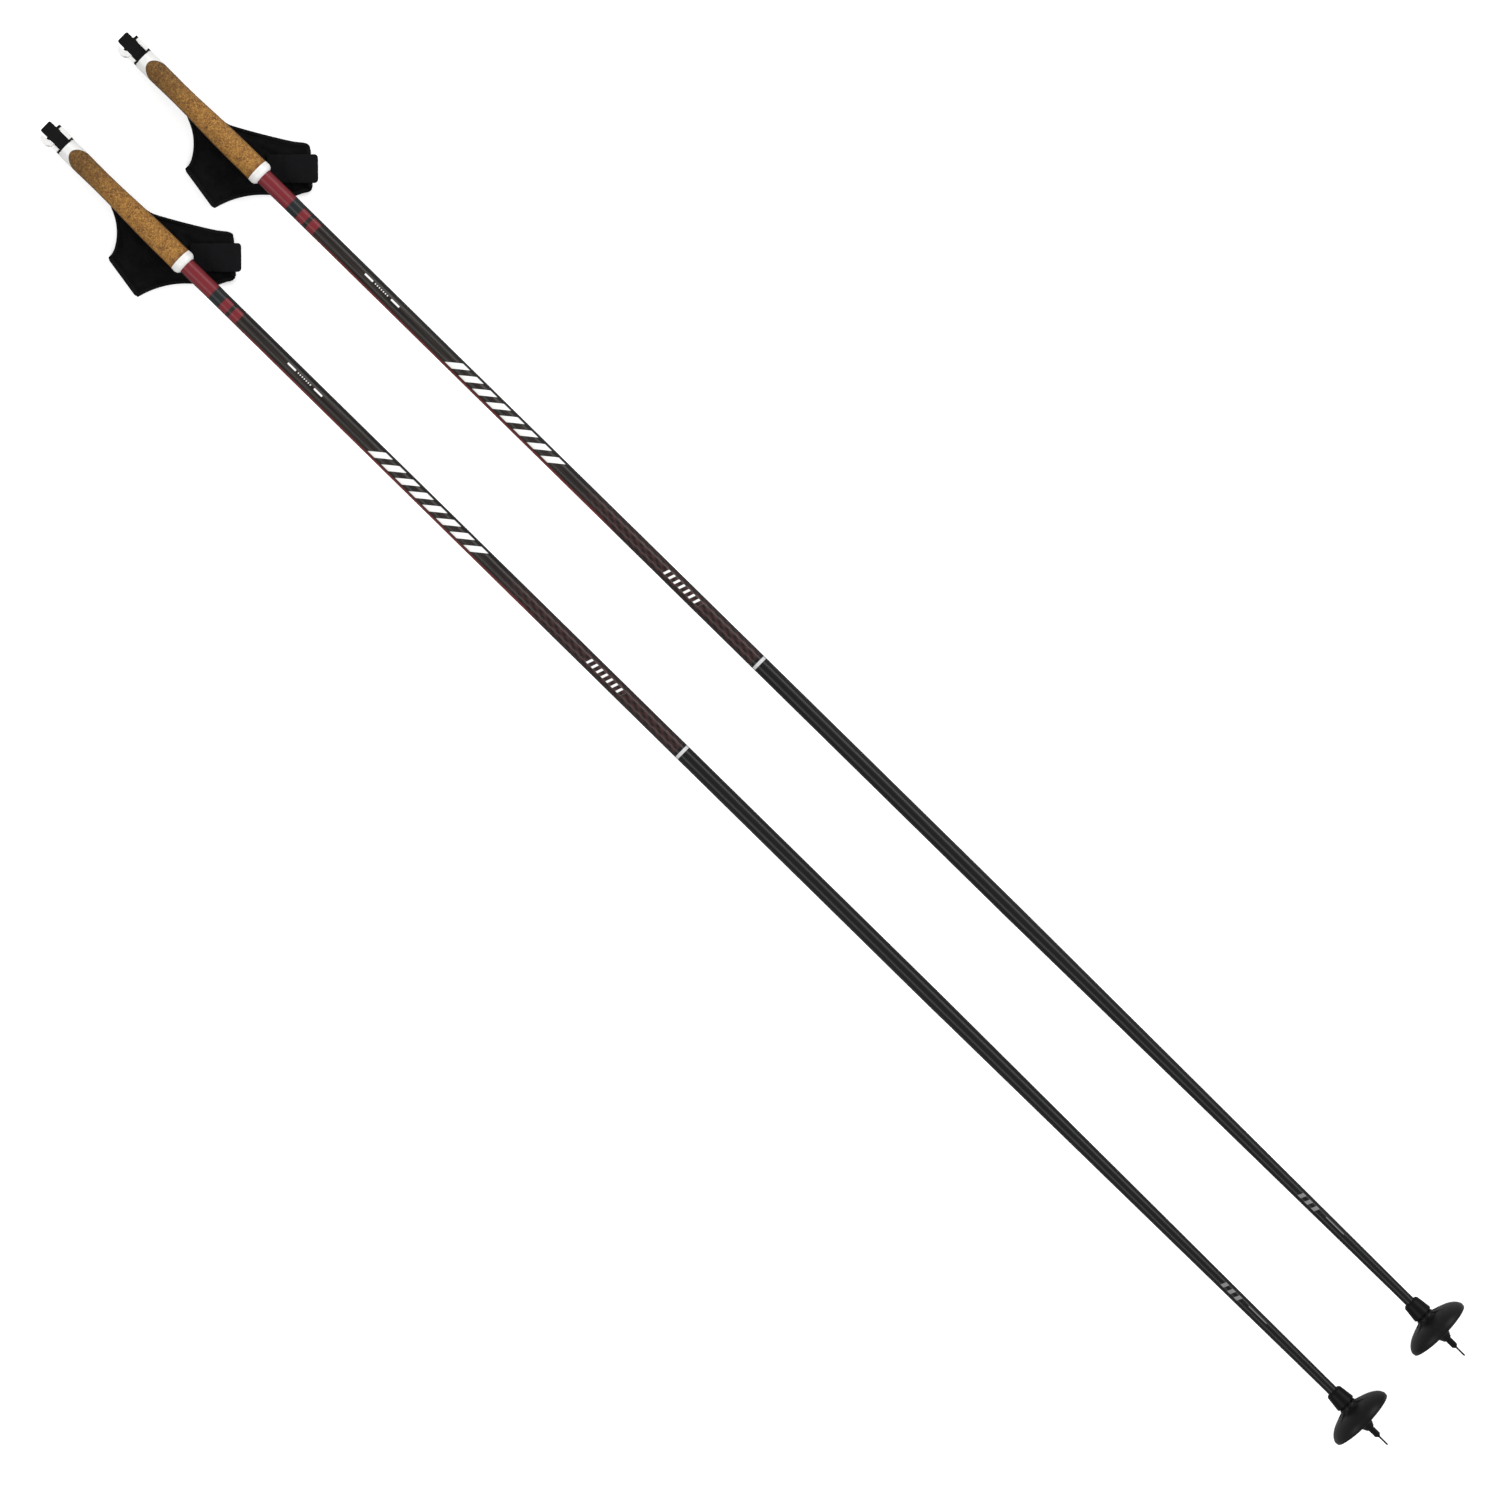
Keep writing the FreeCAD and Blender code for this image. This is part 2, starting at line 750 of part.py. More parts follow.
def edge_bindings(side):
    """The two sewn edges that join the panels and leave both ends open for the hand."""
    name = f"{side}_edge_bindings"
    carrier = plate(f"{name}_full", panel_corners(), "hand_gap", "panel_thickness")
    inset = doc.addObject("Part::Offset2D", f"{name}_inset")
    inset.Source = doc.getObject(f"{name}_full_outline")
    inset.Fill = False
    bind(inset, Value="0 - binding_width")
    hollow = doc.addObject("Part::Extrusion", f"{name}_hollow")
    hollow.Base = inset
    hollow.Dir = Vector(0, 0, 1)
    hollow.Solid = True
    bind(hollow, LengthFwd="hand_gap + 2")
    ends = []
    for label, first, second in (
        ("fingers", Vector(124.7, -46.5, 0), Vector(169.3, -53.8, 0)),
        ("wrist", Vector(190.9, 52.3, 0), Vector(224.5, 21.6, 0)),
    ):
        along = second - first
        mouth = doc.addObject("Part::Box", f"{name}_{label}_mouth")
        bind(mouth, Width="2 * binding_width + 4", Height="hand_gap + 4")
        mouth.Length = along.Length - 2 * size("binding_width")
        turn = Rotation(Vector(1, 0, 0), along)
        start = Vector(size("binding_width"), -size("binding_width") - 2, 0)
        mouth.Placement = Placement(first + turn.multVec(start), turn)
        ends.append(mouth)
    tool = doc.addObject("Part::MultiFuse", f"{name}_tool")
    tool.Shapes = [hollow, *ends]
    return cut(name, carrier, tool)


def band_outline(reach, half_width):
    """A square-cut strip that leaves the band's root towards the wrist end, at 45 degrees."""
    slant = math.sqrt(0.5)
    corners = []
    for along, across in ((0, -half_width), (0, half_width), (reach, half_width), (reach, -half_width)):
        x = f"band_root_x + {slant * (along + across):.4f}"
        y = f"band_root_y + {slant * (along - across):.4f}"
        corners.append((x.replace("+ -", "- "), y.replace("+ -", "- ")))
    return corners


def closure_patch(side, level):
    """The hook patch sewn on the upper panel under the closure band."""
    outline = band_outline(size("band_length") - 6, size("band_width") / 2 - 1)
    return plate(f"{side}_closure_patch", outline, "patch_thickness", level)


def closure_band(side):
    """The loop-faced band that pulls the strap tight and peels open from its end."""
    level = "2 * panel_thickness + hand_gap + patch_thickness + soft_gap"
    outline = band_outline(size("band_length"), size("band_width") / 2)
    return plate(f"{side}_closure_band", outline, "band_thickness", level)


def checked(parts):
    """Stop if any object of the document failed."""
    doc.recompute()
    for item in doc.Objects:
        if any(word in item.State for word in ("Invalid", "Error")):
            raise RuntimeError(f"{item.Label} failed: {item.State}")
    for part in parts:
        if part.Shape.isNull() or not part.Shape.isValid() or part.Shape.Volume <= 0:
            raise RuntimeError(f"{part.Label} has no sound shape")


def moved(part, place):
    """Place a finished sub-part without losing the place it was built with."""
    part.Placement = place.multiply(part.Placement)


def build_pole(side):
    """Every piece of one pole, the rigid ones and the soft ones apart."""
    nut, hub, ferrule, carbide = basket_and_tip(side)
    rigid = [
        shaft(side),
        grip_core(side),
        release_lever(side),
        lever_pin(side),
        head_band(side),
        cork_grip(side),
        end_ring(side),
        strap_plug(side),
        webbing_pin(side),
        nut,
        hub,
        basket_disc(side),
        ferrule,
        carbide,
    ]
    soft = [*strap(side), closure_band(side)]
    return rigid, soft


def resting_place():
    """How a pole lies: its cork just over the strap, and the basket's rim just off the floor."""
    cork_x, _, _, cork_back = GRIP_OVALS[2]
    cork_height = size("2 * panel_thickness + hand_gap + cork_gap") + cork_back
    tilt = math.radians(size("rim_tilt"))
    rim_x = size("rim_centre") - size("rim_radius") * math.sin(tilt)
    rim_height = size("rim_radius") * math.cos(tilt) + 0.2
    slope = math.atan2(rim_height - cork_height, rim_x - cork_x)
    start = cork_height - cork_x * math.tan(slope)
    return Placement(Vector(0, 0, start), Rotation(Vector(0, 1, 0), -math.degrees(slope)))


def place_pair():
    """Both poles side by side, with the pair's box centred over the origin."""
    parts = []
    for side, sign in (("left", -1), ("right", 1)):
        rigid, soft = build_pole(side)
        doc.recompute()
        shift = Vector(0 if side == "left" else -size("pole_stagger"), sign * size("pole_spacing") / 2, 0)
        for part in rigid:
            moved(part, Placement(shift, Rotation()).multiply(resting_place()))
        for part in soft:
            moved(part, Placement(shift, Rotation()))
        parts += rigid + soft
    doc.recompute()
    box = FreeCAD.BoundBox()
    for part in parts:
        box.add(part.Shape.optimalBoundingBox(False, False))
    centre = Vector(-box.Center.x, -box.Center.y, 0)
    for part in parts:
        moved(part, Placement(centre, Rotation()))
    return parts


def write(parts):
    """One STEP file for each named sub-part."""
    os.makedirs("parts", exist_ok=True)
    for part in parts:
        part.Shape.exportStep(f"parts/{part.Label}.step")


all_parts = place_pair()
checked(all_parts)
write(all_parts)
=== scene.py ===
import json
import math

import bmesh
import bpy
from mathutils import Matrix, Vector, kdtree


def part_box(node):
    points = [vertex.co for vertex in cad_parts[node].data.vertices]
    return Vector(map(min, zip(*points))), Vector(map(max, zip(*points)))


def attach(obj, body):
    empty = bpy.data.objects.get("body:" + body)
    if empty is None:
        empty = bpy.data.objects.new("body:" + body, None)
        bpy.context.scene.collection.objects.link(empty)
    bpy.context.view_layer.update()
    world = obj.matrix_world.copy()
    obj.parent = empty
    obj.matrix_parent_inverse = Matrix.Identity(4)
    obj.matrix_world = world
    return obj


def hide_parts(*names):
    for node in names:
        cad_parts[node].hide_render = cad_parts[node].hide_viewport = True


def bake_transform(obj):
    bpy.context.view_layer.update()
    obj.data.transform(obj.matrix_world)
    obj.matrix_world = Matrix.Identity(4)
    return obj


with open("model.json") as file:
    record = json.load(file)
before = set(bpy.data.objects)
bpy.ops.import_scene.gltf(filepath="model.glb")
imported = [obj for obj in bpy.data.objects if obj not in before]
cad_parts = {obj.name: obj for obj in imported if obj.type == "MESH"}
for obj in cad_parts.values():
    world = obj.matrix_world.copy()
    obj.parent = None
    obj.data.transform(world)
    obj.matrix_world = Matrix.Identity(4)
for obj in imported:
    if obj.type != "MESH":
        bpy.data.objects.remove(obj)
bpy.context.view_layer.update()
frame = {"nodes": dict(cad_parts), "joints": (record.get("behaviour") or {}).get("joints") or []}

MM = 0.001
SIDES = ("left", "right")
JOINTS = {joint["name"]: joint for joint in frame["joints"]}

# ---------------------------------------------------------------- places on a pole

NUT_PLACE = 1683 * MM        # the nut's joint, measured from the top of the grip
BAND_ROOT = Vector((193.5, 21.0, 10.15)) * MM   # the band's joint, from the same corner of the strap
BAND_ALONG = Vector((1, 1, 0)).normalized()
BAND_ACROSS = Vector((1, -1, 0)).normalized()


def pole_frame(side):
    """A pole's own axes: X from grip to tip, Y across the pair, Z towards the grip's front."""
    nut = JOINTS[f"{side}_nut_turn"]
    along = Vector(nut["axis"]).normalized()
    across = Vector((0, 1, 0))
    up = along.cross(across)
    origin = Vector(nut["pos_m"]) - along * NUT_PLACE
    return Matrix.Translation(origin) @ Matrix((along, across, up)).transposed().to_4x4()


def strap_frame(side):
    """The strap's axes are level with the floor and start under the top of the grip."""
    return Matrix.Translation(Vector(JOINTS[f"{side}_band_peel"]["pos_m"]) - BAND_ROOT)


# ---------------------------------------------------------------- camera, light and floor

VIEW_WIDTH = 1.391           # what the frame takes in at the poles
VIEW_CENTRE = Vector((0.0032, -0.0083, 0.026))
VIEW_RIGHT = Vector((0.7136, 0.70055, 0)).normalized()
LENS = 150.0


def make_camera():
    """Straight above the pair, rolled so that the poles run from upper left to lower right."""
    data = bpy.data.cameras.new("camera")
    data.lens = LENS
    camera = bpy.data.objects.new("camera", data)
    bpy.context.scene.collection.objects.link(camera)
    distance = VIEW_WIDTH * LENS / data.sensor_width
    back = Vector((0, 0, 1))
    top = back.cross(VIEW_RIGHT)
    axes = Matrix((VIEW_RIGHT, top, back)).transposed().to_4x4()
    camera.matrix_world = Matrix.Translation(VIEW_CENTRE + back * distance) @ axes
    data.clip_end = 3 * distance
    bpy.context.scene.camera = camera


def strip_light(name, tilt, distance, size, energy):
    """A long soft light beside the poles, aimed at them from a tilt off the vertical."""
    data = bpy.data.lights.new(name, "AREA")
    data.shape = "RECTANGLE"
    data.size, data.size_y = size
    data.energy = energy
    light = bpy.data.objects.new(name, data)
    light.matrix_world = Matrix.Rotation(tilt, 4, "X") @ Matrix.Translation((0, 0, distance))
    light.visible_camera = False
    bpy.context.scene.collection.objects.link(light)


def make_floor():
    """Pale paper, lit a little from behind; what the poles mirror of it is a softer grey."""
    bpy.ops.mesh.primitive_plane_add(size=60, location=(0, 0, -0.0004))
    floor = bpy.context.object
    floor.name = "floor"
    material = bpy.data.materials.new("floor_paper")
    material.use_nodes = True
    tree = material.node_tree
    paper = tree.nodes["Principled BSDF"]
    seen = add(tree, "ShaderNodeLightPath").outputs["Is Camera Ray"]
    wire(tree, paper.inputs["Base Color"], blend_colour(tree, seen, (0.5, 0.5, 0.5), (0.9, 0.9, 0.9)))
    wire(tree, paper.inputs["Emission Color"], blend_colour(tree, seen, (0, 0, 0), (1, 1, 1)))
    paper.inputs["Emission Strength"].default_value = 0.36
    paper.inputs["Roughness"].default_value = 0.9
    paper.inputs["Specular IOR Level"].default_value = 0.0
    floor.data.materials.append(material)


def make_stage():
    """The floor, an even surround, and two strips that draw the highlights along the shafts."""
    make_floor()
    world = bpy.data.worlds.new("surround")
    bpy.context.scene.world = world
    world.use_nodes = True
    tree = world.node_tree
    seen = add(tree, "ShaderNodeLightPath").outputs["Is Camera Ray"]
    glow = blend_colour(tree, seen, (0.55, 0.55, 0.55), (1, 1, 1))
    wire(tree, tree.nodes["Background"].inputs["Color"], glow)
    strip_light("strip_high_side", math.radians(-52), 2.6, (3.6, 1.0), 62)
    strip_light("strip_low_side", math.radians(42), 2.6, (3.6, 0.9), 42)
    bpy.context.scene.view_settings.view_transform = "Standard"


# ---------------------------------------------------------------- node helpers


def wire(tree, socket, value):
    """Link a socket, or set its value."""
    if isinstance(value, bpy.types.NodeSocket):
        tree.links.new(value, socket)
    elif isinstance(value, (tuple, list)) and len(value) == 3 and socket.type == "RGBA":
        socket.default_value = (*value, 1)
    else:
        socket.default_value = value


def add(tree, kind, inputs=None, **settings):
    """A node with its settings and its inputs, which are named or numbered."""
    node = tree.nodes.new(kind)
    for name, value in settings.items():
        setattr(node, name, value)
    for name, value in (inputs or {}).items():
        wire(tree, node.inputs[name], value)
    return node


def maths(tree, operation, first, second=0.0, third=0.0):
    """One sum on numbers."""
    inputs = {0: first, 1: second, 2: third}
    return add(tree, "ShaderNodeMath", inputs, operation=operation).outputs[0]


def magnitude(tree, first, second):
    """The length of two numbers at right angles."""
    squares = maths(tree, "MULTIPLY", first, first), maths(tree, "MULTIPLY", second, second)
    return maths(tree, "SQRT", maths(tree, "ADD", *squares))


def scaled(tree, vector, factors):
    """A vector stretched by a factor along each axis."""
    return add(tree, "ShaderNodeVectorMath", {0: vector, 1: factors}, operation="MULTIPLY").outputs[0]


def smooth(tree, value, low, high, to_low=0.0, to_high=1.0):
    """A smooth step of a value between two limits."""
    inputs = {"Value": value, "From Min": low, "From Max": high, "To Min": to_low, "To Max": to_high}
    return add(tree, "ShaderNodeMapRange", inputs, interpolation_type="SMOOTHSTEP").outputs["Result"]


def blend_colour(tree, factor, first, second):
    """One colour over another by a mask."""
    node = add(tree, "ShaderNodeMix", data_type="RGBA", clamp_factor=True)
    wire(tree, node.inputs[0], factor)
    wire(tree, node.inputs[6], first)
    wire(tree, node.inputs[7], second)
    return node.outputs[2]


def noise(tree, vector, scale, detail=3.0, roughness=0.55, distortion=0.0):
    """Plain noise between 0 and 1."""
    inputs = {
        "Vector": vector,
        "Scale": scale,
        "Detail": detail,
        "Roughness": roughness,
        "Distortion": distortion,
    }
    return add(tree, "ShaderNodeTexNoise", inputs).outputs["Fac"]


def new_group(name, inputs, outputs):
    """An empty shader group with named sockets."""
    group = bpy.data.node_groups.new(name, "ShaderNodeTree")
    kinds = {"number": "NodeSocketFloat", "vector": "NodeSocketVector", "colour": "NodeSocketColor"}
    for label, (kind, value) in inputs.items():
        socket = group.interface.new_socket(label, in_out="INPUT", socket_type=kinds[kind])
        socket.default_value = value
    for label, kind in outputs.items():
        group.interface.new_socket(label, in_out="OUTPUT", socket_type=kinds[kind])
    return group, group.nodes.new("NodeGroupInput"), group.nodes.new("NodeGroupOutput")


def use(tree, group, **inputs):
    """Place a shared group in a material with its own values."""
    node = tree.nodes.new("ShaderNodeGroup")
    node.node_tree = group
    for name, value in inputs.items():
        wire(tree, node.inputs[name.replace("_", " ")], value)
    return node


def group_printed_band():
    """Mask of a printed area between two distances, with a soft edge."""
    inputs = {
        "Place": ("number", 0.0),
        "Start": ("number", 0.0),
        "End": ("number", 1.0),
        "Edge": ("number", 0.5),
    }
    tree, given, out = new_group("printed band", inputs, {"Mask": "number"})
    place, edge = given.outputs["Place"], given.outputs["Edge"]
    rise_low = maths(tree, "SUBTRACT", given.outputs["Start"], edge)
    rise_high = maths(tree, "ADD", given.outputs["Start"], edge)
    fall_low = maths(tree, "SUBTRACT", given.outputs["End"], edge)
    fall_high = maths(tree, "ADD", given.outputs["End"], edge)
    rise = smooth(tree, place, rise_low, rise_high)
    fall = smooth(tree, place, fall_low, fall_high, 1.0, 0.0)
    tree.links.new(maths(tree, "MULTIPLY", rise, fall), out.inputs["Mask"])
    return tree


def group_moulded_surface():
    """Fine mould texture: a little height, and roughness that wanders with handling."""
    inputs = {
        "Vector": ("vector", (0, 0, 0)),
        "Grain": ("number", 2500.0),
        "Roughness": ("number", 0.4),
        "Wander": ("number", 0.12),
    }
    tree, given, out = new_group("moulded surface", inputs, {"Height": "number", "Roughness": "number"})
    grain = noise(tree, given.outputs["Vector"], given.outputs["Grain"], 2.0)
    broad = noise(tree, given.outputs["Vector"], 45.0, 4.0)
    shift = maths(tree, "MULTIPLY", maths(tree, "SUBTRACT", broad, 0.5), given.outputs["Wander"])
    fine = maths(tree, "MULTIPLY", maths(tree, "SUBTRACT", grain, 0.5), 0.06)
    rough = maths(tree, "ADD", maths(tree, "ADD", given.outputs["Roughness"], shift), fine)
    tree.links.new(grain, out.inputs["Height"])
    tree.links.new(rough, out.inputs["Roughness"])
    return tree


def group_dust():
    """A faint pale film that gathers in patches."""
    inputs = {
        "Vector": ("vector", (0, 0, 0)),
        "Colour": ("colour", (0, 0, 0, 1)),
        "Amount": ("number", 0.1),
    }
    tree, given, out = new_group("dust", inputs, {"Colour": "colour"})
    patches = noise(tree, given.outputs["Vector"], 60.0, 5.0, 0.65)
    mask = maths(tree, "MULTIPLY", smooth(tree, patches, 0.45, 0.75), given.outputs["Amount"])
    colour = blend_colour(tree, mask, given.outputs["Colour"], (0.35, 0.34, 0.32))
    tree.links.new(colour, out.inputs["Colour"])
    return tree


def group_woven_tape():
    """Ribs of a woven tape: threads across, broken by threads along."""
    inputs = {"Vector": ("vector", (0, 0, 0)), "Pitch": ("number", 1.0)}
    tree, given, out = new_group("woven tape", inputs, {"Height": "number", "Shade": "number"})
    parts = add(tree, "ShaderNodeSeparateXYZ", {0: given.outputs["Vector"]}).outputs
    turn = maths(tree, "DIVIDE", 2 * math.pi / MM, given.outputs["Pitch"])
    along = maths(tree, "MULTIPLY_ADD", parts[2], 0.5, parts[0])
    across = maths(tree, "ADD", parts[1], parts[2])
    along = maths(tree, "SINE", maths(tree, "MULTIPLY", along, turn))
    across = maths(tree, "SINE", maths(tree, "MULTIPLY", across, turn))
    over = maths(tree, "MULTIPLY", along, across)
    ribs = maths(tree, "MULTIPLY_ADD", over, 0.35, maths(tree, "ABSOLUTE", across))
    fuzz = noise(tree, given.outputs["Vector"], 2600.0, 2.0)
    height = maths(tree, "MULTIPLY_ADD", fuzz, 0.5, ribs)
    shade = smooth(tree, height, 0.1, 1.5)
    tree.links.new(height, out.inputs["Height"])
    tree.links.new(shade, out.inputs["Shade"])
    return tree


GROUPS = {
    "band": group_printed_band(),
    "moulded": group_moulded_surface(),
    "dust": group_dust(),
    "tape": group_woven_tape(),
}


def new_material(name):
    """An empty material with its shader and its object coordinates."""
    material = bpy.data.materials.new(name)
    material.use_nodes = True
    tree = material.node_tree
    place = add(tree, "ShaderNodeTexCoord").outputs["Object"]
    return material, tree, tree.nodes["Principled BSDF"], place


def bump(tree, height, distance, strength=1.0, under=None):
    """A bump of some depth in metres."""
    inputs = {"Height": height, "Distance": distance, "Strength": strength}
    if under is not None:
        inputs["Normal"] = under
    return add(tree, "ShaderNodeBump", inputs).outputs["Normal"]


def pole_place(tree, place, side):
    """Object coordinates turned into the pole's own axes, in millimetres."""
    axes = pole_frame(side)
    inputs = {"Vector": place, "Location": axes.to_translation(), "Rotation": axes.to_euler()}
    local = add(tree, "ShaderNodeMapping", inputs, vector_type="TEXTURE").outputs["Vector"]
    return scaled(tree, local, (1 / MM,) * 3)


def strap_place(tree, place, side, turn=0.0):
    """Object coordinates in the strap's axes, turned about the vertical, in metres."""
    inputs = {
        "Vector": place,
        "Location": strap_frame(side).to_translation(),
        "Rotation": (0, 0, turn),
    }
    return add(tree, "ShaderNodeMapping", inputs, vector_type="TEXTURE").outputs["Vector"]


# ---------------------------------------------------------------- materials of the hard parts

WINE = (0.160, 0.018, 0.024)
INK_BLACK = (0.006, 0.006, 0.0065)
UPPER_GREY = (0.0085, 0.0070, 0.0064)
WEAVE_BROWN = (0.050, 0.020, 0.019)
BAND_GREY = (0.014, 0.017, 0.018)
STRIPE_RED = (0.12, 0.014, 0.012)
PRINT_WHITE = (0.80, 0.80, 0.79)
PRINT_GREY = (0.32, 0.32, 0.32)
RING_SILVER = (0.52, 0.52, 0.53)

# printed places along the tube, in millimetres from the top of the grip: start, end, soft edge
RED_END = 220
GREY_BAND = (219.5, 231, 1.2)
BLOCK = (232.5, 254.5, 0.8)
BLOCK_SLOT = (241.5, 245.5, 0.5)
HIGH_STRIPE = (150, 612, 2)
LOW_STRIPE = (262, 640, 20)
WEAVE_START = (585, 640)
WEAVE_END = 824
RING_GAP = (825.2, 831.8, 0.25)
RING = (826.9, 830.1, 0.25)
HAIRLINE = (1562, 1585, 0.6)
# rows of bars: start, end, low side, high side, pitch, share of the pitch, slant
BIG_BARS = (431, 573, -5.0, 5.6, 17.75, 0.52, 1.25)
SMALL_BARS = (707, 752, -2.9, 3.1, 6.4, 0.40, 0.35)
DASHES = (315, 361, 0.6, 2.3, 34.0, 0.31, 0.0)
DOTS = (328, 346, 0.9, 2.1, 2.6, 0.5, 0.0)
FAINT_BARS = (1530, 1556, -2.6, 2.6, 8.6, 0.5, 0.45)


def band_mask(tree, place, start, end, edge=0.5):
    """The share of a printed band at this place, in millimetres."""
    return use(tree, GROUPS["band"], Place=place, Start=start, End=end, Edge=edge).outputs["Mask"]


def both(tree, *masks):
    """Where all the masks overlap; a plain number weakens them."""
    result = masks[0]
    for mask in masks[1:]:
        result = maths(tree, "MULTIPLY", result, mask)
    return result


def slanted_bars(tree, along, across, start, end, low, high, pitch, share, slant):
    """A row of slanted bars inside a printed box."""
    lean = maths(tree, "MULTIPLY_ADD", across, -slant, along)
    phase = maths(tree, "FRACT", maths(tree, "DIVIDE", maths(tree, "SUBTRACT", lean, start), pitch))
    edge = 0.25 / pitch
    bars = band_mask(tree, phase, edge, share, edge)
    return both(
        tree,
        bars,
        band_mask(tree, lean, start, end, 0.2),
        band_mask(tree, across, low, high, 0.3),
    )


def carbon_tube(side):
    """The printed and clear-coated tube: wine red, grey-brown, a twill window, then plain black."""
    material, tree, shader, place = new_material(f"printed_carbon_{side}")
    local = pole_place(tree, place, side)
    along, across, up = add(tree, "ShaderNodeSeparateXYZ", {0: local}).outputs
    radius = magnitude(tree, across, up)
    side_share = maths(tree, "DIVIDE", across, maths(tree, "MAXIMUM", radius, 1.0))
    either_side = maths(tree, "ABSOLUTE", side_share)
    front = smooth(tree, up, -1.0, 1.0)
    streaks = noise(tree, scaled(tree, local, (0.018, 0.75, 0.75)), 1.0, 4.0, 0.6)
    fibres = noise(tree, scaled(tree, local, (0.25, 5.0, 5.0)), 1.0, 2.0)

    angle = maths(tree, "ARCTAN2", across, up)
    turns = maths(tree, "MULTIPLY", angle, 8.0)
    twill_phase = maths(tree, "MULTIPLY_ADD", along, 0.62, turns)
    cross_phase = maths(tree, "MULTIPLY_ADD", along, -0.62, turns)
    twill = maths(tree, "MULTIPLY_ADD", maths(tree, "SINE", twill_phase), 0.5, 0.5)
    cross = maths(tree, "MULTIPLY_ADD", maths(tree, "SINE", cross_phase), 0.5, 0.5)
    weave = maths(tree, "MULTIPLY_ADD", cross, 0.35, maths(tree, "MULTIPLY", twill, 0.65))
    weave = maths(tree, "MULTIPLY", weave, maths(tree, "MULTIPLY_ADD", streaks, 0.9, 0.45))

    grey = blend_colour(tree, smooth(tree, streaks, 0.35, 0.7), UPPER_GREY, (0.030, 0.024, 0.021))
    high_stripe = both(tree, smooth(tree, side_share, 0.62, 0.74), band_mask(tree, along, *HIGH_STRIPE))
    low_stripe = both(tree, smooth(tree, side_share, -0.70, -0.82), band_mask(tree, along, *LOW_STRIPE))
    grey = blend_colour(tree, high_stripe, grey, INK_BLACK)

    brown = blend_colour(tree, weave, (0.007, 0.006, 0.006), WEAVE_BROWN)
    # the twill window goes to black towards both sides of the tube: painted shade where the round tube
    # turns away from the light
    brown = blend_colour(tree, smooth(tree, either_side, 0.72, 0.86), brown, INK_BLACK)
    black = blend_colour(tree, fibres, (0.0036, 0.0037, 0.0040), (0.0070, 0.0072, 0.0076))

    colour = blend_colour(tree, smooth(tree, along, *WEAVE_START), grey, brown)
    colour = blend_colour(tree, smooth(tree, along, WEAVE_END - 0.5, WEAVE_END + 0.5), colour, black)
    colour = blend_colour(tree, band_mask(tree, along, *GREY_BAND), colour, BAND_GREY)
    colour = blend_colour(tree, smooth(tree, along, RED_END - 1, RED_END + 1, 1.0, 0.0), colour, WINE)
    block = both(tree, band_mask(tree, along, *BLOCK), smooth(tree, side_share, 0.62, 0.70, 1.0, 0.0))
    slot = both(tree, band_mask(tree, along, *BLOCK_SLOT), smooth(tree, side_share, 0.9, 0.95, 1.0, 0.0))
    block = both(tree, block, maths(tree, "SUBTRACT", 1.0, slot))
    colour = blend_colour(tree, block, colour, WINE)

    rows = (BIG_BARS, SMALL_BARS, DASHES, DOTS, FAINT_BARS)
    big, small, dashes, dots, faint = (slanted_bars(tree, along, across, *row) for row in rows)
    dashes = maths(tree, "MAXIMUM", dashes, dots)
    hairline = both(tree, band_mask(tree, along, *HAIRLINE), band_mask(tree, across, 1.1, 1.9, 0.2))
    white = maths(tree, "MAXIMUM", maths(tree, "MAXIMUM", big, small), dashes)
    white = both(tree, white, front)
    grey_print = both(tree, maths(tree, "MAXIMUM", faint, hairline), front, 0.55)
    # both sides of the whole tube darken towards INK_BLACK: painted shade where the round tube turns away
    # from the light
    painted_flank_shade = smooth(tree, either_side, 0.80, 0.97, 0.0, 0.6)
    for mask, ink in (
        (band_mask(tree, along, *RING_GAP), INK_BLACK),
        (white, PRINT_WHITE),
        (grey_print, PRINT_GREY),
        (band_mask(tree, along, *RING), RING_SILVER),
        (painted_flank_shade, INK_BLACK),
        (low_stripe, STRIPE_RED),
    ):
        colour = blend_colour(tree, mask, colour, ink)
    wire(tree, shader.inputs["Base Color"], colour)

    orange_peel = noise(tree, place, 900.0, 2.0)
    rough = maths(tree, "MULTIPLY_ADD", streaks, 0.14, 0.30)
    wire(tree, shader.inputs["Roughness"], rough)
    wire(tree, shader.inputs["Normal"], bump(tree, orange_peel, 0.00004, 0.5))
    shader.inputs["Specular IOR Level"].default_value = 0.12
    shader.inputs["Coat Weight"].default_value = 0.12
    shader.inputs["Coat Roughness"].default_value = 0.14
    return material


CORK_TONES = (
    (0.03, (0.085, 0.031, 0.006, 1)),
    (0.97, (0.44, 0.235, 0.058, 1)),
    (0.3, (0.165, 0.066, 0.011, 1)),
    (0.6, (0.265, 0.117, 0.021, 1)),
)
CORK_GRAIN = 0.45            # large grains to a millimetre
NOSE_CENTRE = 50.5           # the oval nose, in millimetres from the top of the grip
NOSE_LENGTH = 15.7
NOSE_HALF_WIDTH = 10.5


